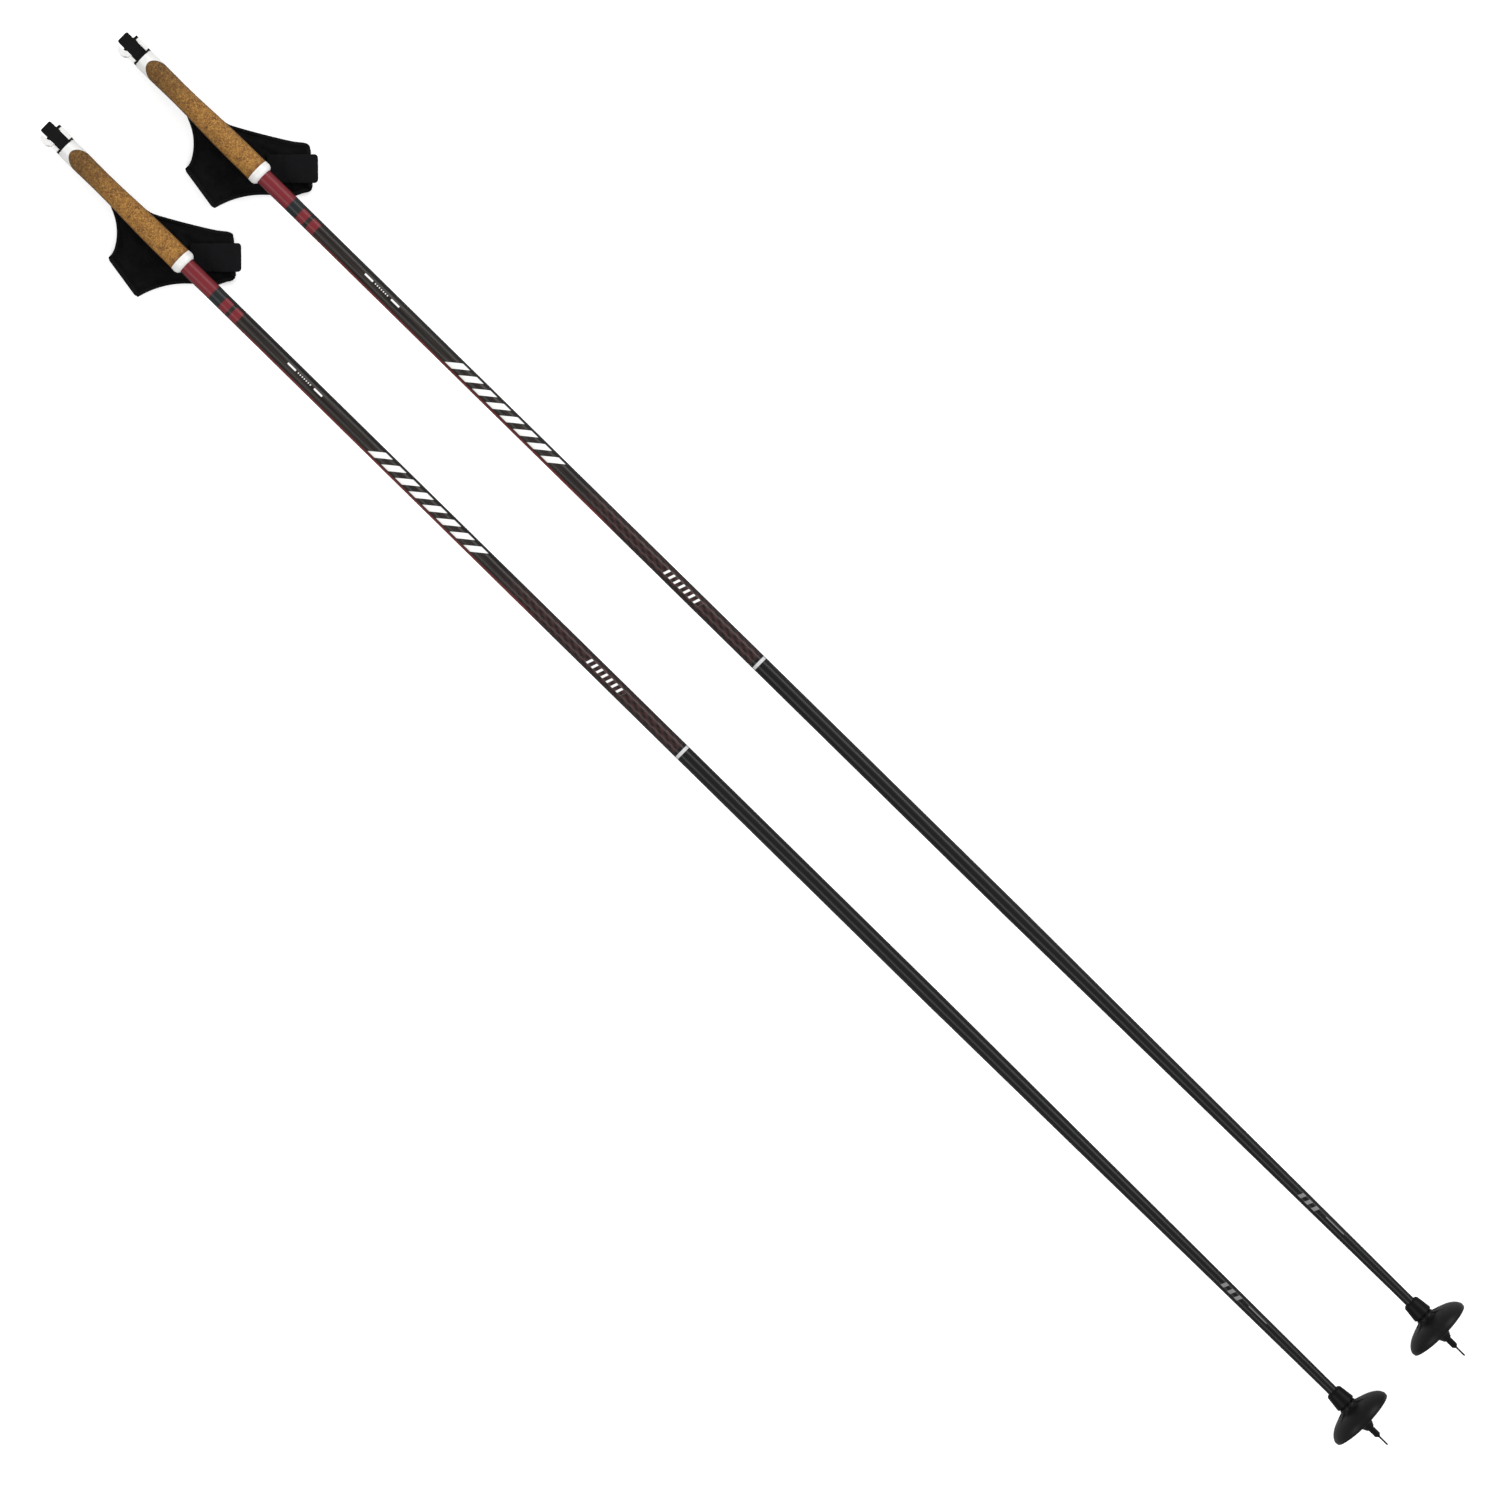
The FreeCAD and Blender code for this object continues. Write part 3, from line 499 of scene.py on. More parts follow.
def pressed_cork(side):
    """Granulated cork: golden at the foot, darker and olive by the nose, with dark flecks."""
    material, tree, shader, place = new_material(f"pressed_cork_{side}")
    local = pole_place(tree, place, side)
    along, across, up = add(tree, "ShaderNodeSeparateXYZ", {0: local}).outputs
    warp = add(tree, "ShaderNodeTexNoise", {"Vector": local, "Scale": 0.9, "Detail": 3.0})
    push = scaled(tree, warp.outputs["Color"], (1.5, 1.5, 1.5))
    bent = add(tree, "ShaderNodeVectorMath", {0: local, 1: push}, operation="ADD").outputs[0]
    grain = {"Vector": bent, "Scale": CORK_GRAIN}
    large = add(tree, "ShaderNodeTexVoronoi", grain)
    small = add(tree, "ShaderNodeTexVoronoi", {"Vector": bent, "Scale": 1.0})
    seams = add(tree, "ShaderNodeTexVoronoi", grain, feature="DISTANCE_TO_EDGE").outputs["Distance"]
    large_tone = add(tree, "ShaderNodeSeparateColor", {"Color": large.outputs["Color"]}).outputs[0]
    small_tone = add(tree, "ShaderNodeSeparateColor", {"Color": small.outputs["Color"]}).outputs[0]
    fibres = noise(tree, scaled(tree, local, (1.2, 3.0, 2.2)), 1.0, 5.0, 0.7)
    tone = maths(tree, "MULTIPLY_ADD", small_tone, 0.42, maths(tree, "MULTIPLY", large_tone, 0.16))
    tone = maths(tree, "MULTIPLY_ADD", smooth(tree, fibres, 0.3, 0.7), 0.40, tone)
    ramp = add(tree, "ShaderNodeValToRGB", {"Fac": smooth(tree, tone, 0.2, 0.8)})
    stops = ramp.color_ramp.elements
    for stop, (position, shade) in zip(stops[:], CORK_TONES):
        stop.position = position
        stop.color = shade
    for position, shade in CORK_TONES[2:]:
        stops.new(position).color = shade
    broad = noise(tree, local, 0.11, 3.0)
    gold = smooth(tree, broad, 0.35, 0.65, 0.05, 0.4)
    golden = blend_colour(tree, gold, ramp.outputs["Color"], (0.42, 0.205, 0.038))
    olive = blend_colour(tree, 0.55, ramp.outputs["Color"], (0.062, 0.033, 0.007))
    colour = blend_colour(tree, smooth(tree, along, 45, 110), olive, golden)
    # the cork's sides, turned away from the top, are painted darker: painted shade where the grip turns
    # away from the light
    turn = maths(tree, "ARCTAN2", maths(tree, "ABSOLUTE", across), up)
    painted_side_shade = smooth(tree, turn, 1.0, 1.5, 0.0, 0.8)
    colour = blend_colour(tree, painted_side_shade, colour, (0.070, 0.030, 0.008))
    foot = smooth(tree, along, 171, 175.5, 0.0, 0.55)
    colour = blend_colour(tree, foot, colour, (0.12, 0.042, 0.012))
    nose_x = maths(tree, "DIVIDE", maths(tree, "SUBTRACT", along, NOSE_CENTRE), NOSE_LENGTH)
    nose_x = maths(tree, "MINIMUM", nose_x, 0.0)
    nose_y = maths(tree, "DIVIDE", across, NOSE_HALF_WIDTH)
    nose = magnitude(tree, nose_x, nose_y)
    rim = both(tree, smooth(tree, nose, 0.86, 1.0, 0.0, 0.6), smooth(tree, along, 46, 58, 1.0, 0.0))
    colour = blend_colour(tree, rim, colour, (0.075, 0.040, 0.012))
    pits = noise(tree, local, 1.9, 2.0, 0.7)
    flecks = smooth(tree, pits, 0.62, 0.72)
    colour = blend_colour(tree, maths(tree, "MULTIPLY", flecks, 0.8), colour, (0.045, 0.020, 0.007))
    cracks = smooth(tree, seams, 0.0, 0.06, 0.25, 0.0)
    colour = blend_colour(tree, cracks, colour, (0.10, 0.042, 0.012))
    wire(tree, shader.inputs["Base Color"], colour)
    height = maths(tree, "MULTIPLY_ADD", flecks, -0.8, maths(tree, "MULTIPLY", tone, 0.4))
    height = maths(tree, "MULTIPLY_ADD", smooth(tree, seams, 0.0, 0.1), 0.4, height)
    wire(tree, shader.inputs["Normal"], bump(tree, height, 0.00018, 0.8))
    wire(tree, shader.inputs["Roughness"], maths(tree, "MULTIPLY_ADD", pits, 0.2, 0.62))
    shader.inputs["Specular IOR Level"].default_value = 0.3
    return material


def plain_moulding(name, colour, roughness, depth=0.00003, dust=0.0, specular=0.5):
    """A moulded plastic or rubber: its own colour with mould texture and a little dust."""
    material, tree, shader, place = new_material(name)
    surface = use(tree, GROUPS["moulded"], Vector=place, Roughness=roughness)
    tint = noise(tree, place, 220.0, 3.0)
    darker = tuple(0.82 * value for value in colour)
    tone = blend_colour(tree, tint, darker, colour)
    film = use(tree, GROUPS["dust"], Vector=place, Colour=tone, Amount=dust)
    wire(tree, shader.inputs["Base Color"], film.outputs["Colour"])
    wire(tree, shader.inputs["Roughness"], surface.outputs["Roughness"])
    wire(tree, shader.inputs["Normal"], bump(tree, surface.outputs["Height"], depth, 0.6))
    shader.inputs["Specular IOR Level"].default_value = specular
    return material


def ground_metal(name, colour, roughness):
    """Turned or ground metal with fine scratches round it."""
    material, tree, shader, place = new_material(name)
    scratches = noise(tree, scaled(tree, place, (9000.0, 900.0, 900.0)), 1.0, 3.0)
    tone = blend_colour(tree, scratches, tuple(0.7 * value for value in colour), colour)
    wire(tree, shader.inputs["Base Color"], tone)
    wire(tree, shader.inputs["Roughness"], maths(tree, "MULTIPLY_ADD", scratches, 0.2, roughness))
    wire(tree, shader.inputs["Normal"], bump(tree, scratches, 0.00001, 0.5))
    shader.inputs["Metallic"].default_value = 1.0
    return material


# ---------------------------------------------------------------- materials of the strap

CLOTH_BLACK = (0.0023, 0.0023, 0.0026)


def padded_knit(side):
    """Fine knit over foam: small loops, a broad mottle and a soft sheen."""
    material, tree, shader, place = new_material(f"padded_knit_{side}")
    local = strap_place(tree, place, side, math.radians(-9))
    loops = use(tree, GROUPS["tape"], Vector=local, Pitch=1.1)
    mottle = noise(tree, local, 90.0, 4.0, 0.6)
    tone = blend_colour(tree, loops.outputs["Shade"], tuple(0.55 * v for v in CLOTH_BLACK), CLOTH_BLACK)
    tone = blend_colour(tree, smooth(tree, mottle, 0.35, 0.75, 0.0, 0.55), tone, (0.0066, 0.0066, 0.0074))
    lint = use(tree, GROUPS["dust"], Vector=local, Colour=tone, Amount=0.006)
    wire(tree, shader.inputs["Base Color"], lint.outputs["Colour"])
    creases = noise(tree, local, 130.0, 3.0, 0.6, 0.6)
    soft = bump(tree, creases, 0.0012, 0.25)
    wire(tree, shader.inputs["Normal"], bump(tree, loops.outputs["Height"], 0.00016, 0.6, soft))
    wire(tree, shader.inputs["Roughness"], maths(tree, "MULTIPLY_ADD", mottle, 0.18, 0.70))
    shader.inputs["Sheen Weight"].default_value = 0.012
    shader.inputs["Sheen Roughness"].default_value = 0.4
    shader.inputs["Specular IOR Level"].default_value = 0.06
    return material


def woven_tape(side):
    """Tightly woven tape for the webbing, the bindings and the hems."""
    material, tree, shader, place = new_material(f"woven_tape_{side}")
    local = strap_place(tree, place, side)
    weave = use(tree, GROUPS["tape"], Vector=local, Pitch=0.9)
    tone = blend_colour(tree, weave.outputs["Shade"], (0.0016, 0.0016, 0.0018), (0.0058, 0.0058, 0.0064))
    wire(tree, shader.inputs["Base Color"], tone)
    wire(tree, shader.inputs["Normal"], bump(tree, weave.outputs["Height"], 0.00022, 0.7))
    rough = maths(tree, "MULTIPLY_ADD", weave.outputs["Shade"], -0.1, 0.72)
    wire(tree, shader.inputs["Roughness"], rough)
    shader.inputs["Sheen Weight"].default_value = 0.012
    shader.inputs["Specular IOR Level"].default_value = 0.06
    return material


def loop_pile(side):
    """The fuzzy face of a hook and loop band."""
    material, tree, shader, place = new_material(f"loop_pile_{side}")
    local = strap_place(tree, place, side, math.radians(45))
    fuzz = noise(tree, local, 1500.0, 4.0, 0.75, 1.5)
    nap = noise(tree, local, 160.0, 3.0)
    tone = blend_colour(tree, fuzz, (0.0020, 0.0020, 0.0023), (0.0080, 0.0080, 0.0092))
    tone = blend_colour(tree, smooth(tree, nap, 0.4, 0.7, 0.0, 0.4), tone, (0.0072, 0.0072, 0.0084))
    wire(tree, shader.inputs["Base Color"], tone)
    wire(tree, shader.inputs["Normal"], bump(tree, fuzz, 0.0004, 0.7))
    wire(tree, shader.inputs["Roughness"], maths(tree, "MULTIPLY_ADD", nap, 0.1, 0.82))
    shader.inputs["Sheen Weight"].default_value = 0.02
    shader.inputs["Sheen Roughness"].default_value = 0.5
    shader.inputs["Specular IOR Level"].default_value = 0.06
    return material


# ---------------------------------------------------------------- mesh helpers


def new_piece(name, mesh, material):
    """An object from a finished bmesh, with its material."""
    data = bpy.data.meshes.new(name)
    bmesh.ops.recalc_face_normals(mesh, faces=mesh.faces)
    mesh.to_mesh(data)
    mesh.free()
    for face in data.polygons:
        face.use_smooth = True
    data.materials.append(material)
    piece = bpy.data.objects.new(name, data)
    bpy.context.scene.collection.objects.link(piece)
    return piece


def flat_section(width, height, flats=6):
    """A strip's cross-section: flat faces in some steps, and half-round edges."""
    half, radius = width / 2, height / 2
    rounds = 5
    points = []
    for step in range(flats + 1):
        points.append((-half + radius + (width - height) * step / flats, radius))
    for step in range(1, rounds):
        turn = math.pi * step / rounds
        points.append((half - radius + radius * math.sin(turn), radius * math.cos(turn)))
    for step in range(flats + 1):
        points.append((half - radius - (width - height) * step / flats, -radius))
    for step in range(1, rounds):
        turn = math.pi * step / rounds
        points.append((-half + radius - radius * math.sin(turn), -radius * math.cos(turn)))
    return points


def with_end_rings(points, corner):
    """The same points with more of them inside the rounded corners at both ends."""
    if corner <= 0:
        return points
    total = sum((after - before).length for before, after in zip(points, points[1:]))
    places = [corner * (1 - math.cos(math.pi / 2 * step / 6)) for step in range(7)]
    kept, travelled = [], 0.0
    for index, point in enumerate(points):
        if index:
            travelled += (point - points[index - 1]).length
        if corner < travelled < total - corner:
            kept.append(point)

    def at(distance):
        walked = 0.0
        for before, after in zip(points, points[1:]):
            step = (after - before).length
            if walked + step >= distance:
                return before.lerp(after, (distance - walked) / step)
            walked += step
        return points[-1].copy()

    return [at(place) for place in places] + kept + [at(total - place) for place in reversed(places)]


def skinned(mesh, rings):
    """Faces from ring to ring, and a cap at each end."""
    count = len(rings[0])
    for first, second in zip(rings, rings[1:]):
        for index in range(count):
            following = (index + 1) % count
            mesh.faces.new((first[index], first[following], second[following], second[index]))
    mesh.faces.new(rings[0])
    mesh.faces.new(rings[-1])


def sweep(points, across, section, corner=0.0):
    """A closed strip along points, whose section's first axis is across and whose ends are rounded."""
    mesh = bmesh.new()
    if not isinstance(across, list):
        points = with_end_rings(points, corner)
    lengths = [0.0]
    for before, after in zip(points, points[1:]):
        lengths.append(lengths[-1] + (after - before).length)
    rings = []
    for index, point in enumerate(points):
        before, after = points[max(index - 1, 0)], points[min(index + 1, len(points) - 1)]
        forward = (after - before).normalized()
        side = across[index] if isinstance(across, list) else across
        side = (side - forward * side.dot(forward)).normalized()
        up = forward.cross(side)
        end_gap = min(lengths[index], lengths[-1] - lengths[index])
        inset = 0.0
        if corner > 0 and end_gap < corner:
            inset = corner - math.sqrt(max(corner**2 - (corner - end_gap) ** 2, 0.0))
        half = max(abs(u) for u, _ in section)
        shrink = max((half - inset) / half, 0.05)
        rings.append([mesh.verts.new(point + side * u * shrink + up * v) for u, v in section])
    skinned(mesh, rings)
    return mesh


def resampled(points, step):
    """The same polyline with points a step apart."""
    result = [points[0].copy()]
    carried = 0.0
    for before, after in zip(points, points[1:]):
        length = (after - before).length
        place = step - carried
        while place < length:
            result.append(before.lerp(after, place / length))
            place += step
        carried = length - (place - step)
    if (points[-1] - result[-1]).length > 0.3 * step:
        result.append(points[-1].copy())
    return result


def smoothed(points, rounds):
    """A polyline with its corners eased and its ends kept."""
    for _ in range(rounds):
        triples = zip(points, points[1:], points[2:])
        middle = [(before + 2 * point + after) / 4 for before, point, after in triples]
        points = [points[0], *middle, points[-1]]
    return points


STITCH_SIDES = 6
# along a stitch: share of its length, and share of the thread's radius
STITCH_SHAPE = ((0.0, 0.25), (0.2, 0.85), (0.5, 1.0), (0.8, 0.85), (1.0, 0.25))


def stitch(mesh, start, end, radius):
    """A short lozenge of thread, sunk at both ends."""
    forward = (end - start).normalized()
    side = forward.cross(Vector((0, 0, 1))).normalized()
    up = side.cross(forward)
    rings = []
    for share, fat in STITCH_SHAPE:
        centre = start.lerp(end, share) + up * radius * (fat - 0.6)
        ring = []
        for step in range(STITCH_SIDES):
            turn = 2 * math.pi * step / STITCH_SIDES
            offset = side * math.cos(turn) + up * math.sin(turn)
            ring.append(mesh.verts.new(centre + offset * radius * fat))
        rings.append(ring)
    skinned(mesh, rings)


# ---------------------------------------------------------------- the strap

# corners of the panels' two open ends, from the top of the grip, level with the floor
FINGER_END = (Vector((124.7, -46.5, 0)) * MM, Vector((169.3, -53.8, 0)) * MM)
WRIST_END = (Vector((224.5, 21.6, 0)) * MM, Vector((190.9, 52.3, 0)) * MM)
# creases of the wrist lobe: from, to, height and width, in millimetres
CREASES = (
    ((171, 27), (185, 36), 1.2, 1.6),
    ((178, 35), (190, 38), -1.1, 1.6),
    ((183, 30), (192, 12), -1.2, 2.0),
    ((186, 45), (199, 33), -0.9, 1.6),
    ((163, 22), (176, 25), 0.8, 1.7),
    ((150, 14), (170, 19), -0.8, 2.4),
)


def outline_of(node, side):
    """The closed outline of a flat CAD panel, in the strap's axes."""
    mesh = bmesh.new()
    mesh.from_mesh(frame["nodes"][node].data)
    bmesh.ops.remove_doubles(mesh, verts=mesh.verts, dist=1e-6)
    low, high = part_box(node)
    level = 0.5 * (low.z + high.z)
    rim = [e for e in mesh.edges if all(v.co.z < level for v in e.verts)
           and any(f.normal.z < -0.9 for f in e.link_faces)
           and any(abs(f.normal.z) < 0.1 for f in e.link_faces)]
    following = {}
    for edge in rim:
        first, second = edge.verts
        following.setdefault(first, []).append(second)
        following.setdefault(second, []).append(first)
    start = rim[0].verts[0]
    loop, before, here = [start], None, start
    while True:
        after = next(v for v in following[here] if v is not before)
        if after is start:
            break
        loop.append(after)
        before, here = here, after
    base = strap_frame(side).to_translation()
    points = [Vector((v.co.x - base.x, v.co.y - base.y, 0)) for v in loop]
    mesh.free()
    return points


def trimmed(path, first, last):
    """A path with so many millimetres taken off each end."""
    points = resampled(path, 0.4 * MM)
    return points[round(first / 0.4) : len(points) - round(last / 0.4)]


def edge_between(outline, start, end):
    """The stretch of an outline between two of its corners that doesn't hold an open end."""
    count = len(outline)
    first = min(range(count), key=lambda i: (outline[i] - start).length)
    last = min(range(count), key=lambda i: (outline[i] - end).length)
    forwards = [outline[(first + i) % count] for i in range((last - first) % count + 1)]
    backwards = [outline[(first - i) % count] for i in range((first - last) % count + 1)]
    others = [p for p in (*FINGER_END, *WRIST_END) if (p - start).length > MM and (p - end).length > MM]
    for path in (forwards, backwards):
        if not any((p - other).length < MM for p in path for other in others):
            return path
    return forwards


def tree_of(points):
    """A search tree of points."""
    tree = kdtree.KDTree(len(points))
    for index, point in enumerate(points):
        tree.insert(point, index)
    tree.balance()
    return tree


def ease(value):
    """A smooth step from 0 to 1."""
    value = min(max(value, 0.0), 1.0)
    return value * value * (3 - 2 * value)


def crease_height(x, y):
    """How far the folds lift or sink the wrist lobe here; all in metres."""
    total = 0.0
    for start, end, height, width in CREASES:
        first, last = Vector(start) * MM, Vector(end) * MM
        run = last - first
        point = Vector((x, y))
        share = min(max((point - first).dot(run) / run.length_squared, 0.0), 1.0)
        gap = (point - first - run * share).length
        fade = 1 - abs(2 * share - 1) ** 3
        total += height * MM * fade * math.exp(-((gap / (width * MM)) ** 2))
    return total


CORNER_ROUNDING = 5.0 * MM


def rounded_at(point, corner, towards_first, towards_second):
    """A point near one of the outline's corners, drawn in so that the corner is round."""
    half_turn = towards_first.angle(towards_second) / 2
    inward = (towards_first + towards_second).normalized()
    centre = corner + inward * CORNER_ROUNDING / math.sin(half_turn)
    reach = point - centre
    if reach.length < 0.4 * CORNER_ROUNDING or reach.normalized().dot(-inward) < math.sin(half_turn):
        return point
    best = 0.0
    for side in (towards_first, towards_second):
        normal = Vector((-side.y, side.x, 0))
        if normal.dot(inward) > 0:
            normal = -normal
        best = max(best, reach.normalized().dot(normal))
    edge = CORNER_ROUNDING / best
    keep = 0.4 * CORNER_ROUNDING
    share = (reach.length - keep) / max(edge - keep, 1e-6)
    return centre + reach.normalized() * (keep + min(share, 1.0) * (CORNER_ROUNDING - keep))


PANEL_STRETCH = 5.0          # panels are this much thicker while they are remeshed
PANEL_GRID = 2.4 * MM
CLOTH_FRAMES = 20
UPPER_BEND = -2.5 * MM       # how far the closed edges of each panel bend towards the other panel
LOWER_BEND = 1.5 * MM
BEND_WIDTH = 11 * MM
UPPER_SWELL = 0.9 * MM       # how far a point of each pad may move as it swells
LOWER_SWELL = 1.3 * MM
ABOVE_FLOOR = 0.05 * MM
# the upper pad stays flat under the grip, and may rise more away from it
FLAT_HALF_WIDTH = 7 * MM
RISE_WIDTH = 18 * MM
RISE = 1.5 * MM


def applied(piece):
    """Put a piece's modifiers into its mesh."""
    graph = bpy.context.evaluated_depsgraph_get()
    graph.update()
    made = bpy.data.meshes.new_from_object(piece.evaluated_get(graph), depsgraph=graph)
    piece.modifiers.clear()
    old = piece.data
    piece.data = made
    bpy.data.meshes.remove(old)


def remeshed_panel(node, name):
    """A copy of a thin CAD panel as an even mesh of small squares."""
    source = frame["nodes"][node].data.copy()
    piece = bpy.data.objects.new(name, source)
    bpy.context.scene.collection.objects.link(piece)
    low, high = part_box(node)
    middle = (low.z + high.z) / 2
    for vertex in source.vertices:
        vertex.co.z = middle + (vertex.co.z - middle) * PANEL_STRETCH
    remesh = piece.modifiers.new("even_mesh", "REMESH")
    remesh.mode = "VOXEL"
    remesh.voxel_size = PANEL_GRID
    remesh.use_smooth_shade = True
    applied(piece)
    for vertex in piece.data.vertices:
        vertex.co.z = middle + (vertex.co.z - middle) / PANEL_STRETCH
    return piece


def puffed(piece, pinned, limit):
    """Cloth under a little pressure with slack in it, held at its seams, and no point moved too far."""
    before = [vertex.co.copy() for vertex in piece.data.vertices]
    group = piece.vertex_groups.new(name="seams")
    for index, weight in enumerate(pinned):
        group.add([index], weight, "REPLACE")
    cloth = piece.modifiers.new("cloth", "CLOTH")
    settings = cloth.settings
    settings.vertex_group_mass = "seams"
    settings.quality = 6
    settings.mass = 0.15
    settings.tension_stiffness = 12
    settings.compression_stiffness = 12
    settings.bending_stiffness = 0.35
    settings.use_pressure = True
    settings.uniform_pressure_force = 2.5
    settings.shrink_min = -0.035
    settings.effector_weights.gravity = 0
    cloth.collision_settings.use_collision = False
    cloth.point_cache.frame_start = 1
    cloth.point_cache.frame_end = CLOTH_FRAMES
    for number in range(1, CLOTH_FRAMES + 1):
        bpy.context.scene.frame_set(number)
    applied(piece)
    for vertex, start in zip(piece.data.vertices, before):
        move = vertex.co - start
        if move.length > limit:
            vertex.co = start + move.normalized() * limit
    piece.vertex_groups.clear()
    bpy.context.scene.frame_set(1)


def hand_panel(side, node, upper, closed_edges, open_edges, corners, material):
    """One padded panel: its closed edges bend towards the other panel, and the pad swells between."""
    piece = remeshed_panel(f"{side}_{node}", f"{side}_{node}_pad")
    base = strap_frame(side).to_translation()
    closed, mouths = tree_of(closed_edges), tree_of(open_edges)
    bend = UPPER_BEND if upper else LOWER_BEND
    pinned = []
    for vertex in piece.data.vertices:
        local = vertex.co - base
        flat = Vector((local.x, local.y, 0))
        for corner in corners:
            if (flat - corner[0]).length < 3 * CORNER_ROUNDING:
                flat = rounded_at(flat, *corner)
        vertex.co.x, vertex.co.y = flat.x + base.x, flat.y + base.y
        to_edge, to_mouth = closed.find(flat)[2], mouths.find(flat)[2]
        vertex.co.z += bend * (1 - ease(to_edge / BEND_WIDTH))
        if upper:
            vertex.co.z += crease_height(flat.x, flat.y)
        pinned.append(max(1 - ease((min(to_edge, to_mouth) - 2 * MM) / (3 * MM)), 0.04))
    puffed(piece, pinned, UPPER_SWELL if upper else LOWER_SWELL)
    eased = piece.modifiers.new("eased", "SMOOTH")
    eased.factor = 0.5
    eased.iterations = 2
    finer = piece.modifiers.new("finer", "SUBSURF")
    finer.levels = finer.render_levels = 1
    applied(piece)
    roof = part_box(f"{side}_{node}")[1].z
    for vertex in piece.data.vertices:
        away = abs(vertex.co.y - base.y) - FLAT_HALF_WIDTH
        highest = roof + RISE * ease(away / RISE_WIDTH)
        vertex.co.z = min(max(vertex.co.z, ABOVE_FLOOR), highest)
    piece.data.materials.clear()
    piece.data.materials.append(material)
    for face in piece.data.polygons:
        face.use_smooth = True
    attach(piece, f"{side}_strap")
    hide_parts(f"{side}_{node}")


def left_of(forward):
    """The level direction to the left of a level one."""
    return Vector((-forward.y, forward.x, 0))


def edge_tape(name, side, path, centre_z, section, inward, material):
    """A tape sewn along one edge of the strap."""
    base = strap_frame(side)
    points = smoothed(resampled(path, TAPE_STEP), 3)
    second = points[0].lerp(points[1], 0.3)
    last_but_one = points[-2].lerp(points[-1], 0.7)
    points = [points[0], second, *points[1:-1], last_but_one, points[-1]]
    reach = max(u for u, _ in section) - TAPE_OVERHANG
    placed, sides = [], []
    for index, point in enumerate(points):
        before, after = points[max(index - 1, 0)], points[min(index + 1, len(points) - 1)]
        inside = left_of((after - before).normalized()) * inward
        placed.append(base @ (point + inside * reach + Vector((0, 0, centre_z))))
        sides.append(inside)
    return new_piece(name, sweep(placed, sides, section, TAPE_CORNER), material)


def oval_section(half_width, half_height, power):
    """A rounded section between an oval and a box."""
    count = 20
    points = []
    for step in range(count):
        turn = 2 * math.pi * step / count
        c, s = math.cos(turn), math.sin(turn)
        u = math.copysign(abs(c) ** (2 / power), c) * half_width
        v = math.copysign(abs(s) ** (2 / power), s) * half_height
        points.append((u, v))
    return points


TAPE_STEP = 2.5 * MM
TAPE_OVERHANG = 0.3 * MM
TAPE_CORNER = 1.2 * MM
STITCH_PITCH = 2.6 * MM
STITCH_RADIUS = 0.28 * MM
BINDING = oval_section(2.0 * MM, 3.5 * MM, 2.6)
BINDING_HEIGHT = 4.6 * MM
BINDING_SHORT = 4.2          # millimetres by which a binding stops before the wrist end
HEM = oval_section(2.2 * MM, 1.25 * MM, 3.0)
HEM_HEIGHTS = (("upper", 8.1 * MM), ("lower", 1.25 * MM))
HEM_GAPS = {"finger": 1.6 * MM, "wrist": 4.6 * MM}


def seam(name, side, path, offset, height, material):
    """A row of stitches parallel to a path, standing just out of the cloth."""
    base = strap_frame(side)
    mesh = bmesh.new()
    points = resampled(smoothed(resampled(path, TAPE_STEP), 3), STITCH_PITCH)
    for before, after in zip(points, points[1:]):
        inside = left_of((after - before).normalized()) * offset
        lift = Vector((0, 0, height))
        start = base @ (before.lerp(after, 0.12) + inside + lift)
        end = base @ (before.lerp(after, 0.84) + inside + lift)
        stitch(mesh, start, end, STITCH_RADIUS)
    return new_piece(name, mesh, material)


def build_strap(side, cloth, tape, pile):
    """Everything soft on one pole."""
    outline = outline_of(f"{side}_lower_panel", side)
    tip_edge = edge_between(outline, FINGER_END[1], WRIST_END[0])
    head_edge = edge_between(outline, WRIST_END[1], FINGER_END[0])
    closed = resampled(tip_edge, MM) + resampled(head_edge, MM)
    mouths = [a.lerp(b, i / 40) for a, b in (FINGER_END, WRIST_END) for i in range(41)]
    across = (WRIST_END[1] - WRIST_END[0]).normalized()
    corners = (
        (WRIST_END[0], across, (tip_edge[-8] - tip_edge[-1]).normalized()),
        (WRIST_END[1], -across, (head_edge[8] - head_edge[0]).normalized()),
    )
    hand_panel(side, "lower_panel", False, closed, mouths, corners, cloth)
    hand_panel(side, "upper_panel", True, closed, mouths, corners, cloth)

    middle = Vector((160, 0, 0)) * MM
    bindings = []
    edges = {
        "tip_side": trimmed(tip_edge, 0.4, BINDING_SHORT),
        "head_side": trimmed(head_edge, BINDING_SHORT, 0.4),
    }
    for label, path in edges.items():
        forward = (path[1] - path[0]).normalized()
        inward = 1 if left_of(forward).dot(middle - path[0]) > 0 else -1
        name = f"{side}_binding_{label}"
        bindings.append(edge_tape(name, side, path, BINDING_HEIGHT, BINDING, inward, tape))
        bindings.append(seam(f"{side}_seam_{label}", side, path, 5.2 * MM * inward, 8.05 * MM, tape))
    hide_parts(f"{side}_edge_bindings")
    for label, (start, end) in (("finger", FINGER_END), ("wrist", WRIST_END)):
        across = (end - start).normalized()
        path = [start + across * HEM_GAPS[label], end - across * HEM_GAPS[label]]
        inward = 1 if left_of(across).dot(middle - start) > 0 else -1
        for level, height in HEM_HEIGHTS:
            name = f"{side}_hem_{label}_{level}"
            bindings.append(edge_tape(name, side, path, height, HEM, inward, tape))
        bindings.append(seam(f"{side}_seam_{label}", side, path, 5.4 * MM * inward, 9.3 * MM, tape))
    for piece in bindings:
        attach(piece, f"{side}_strap")
    build_webbing(side, tape)
    build_closure(side, pile, tape)


WEBBING = flat_section(12 * MM, 1.6 * MM)
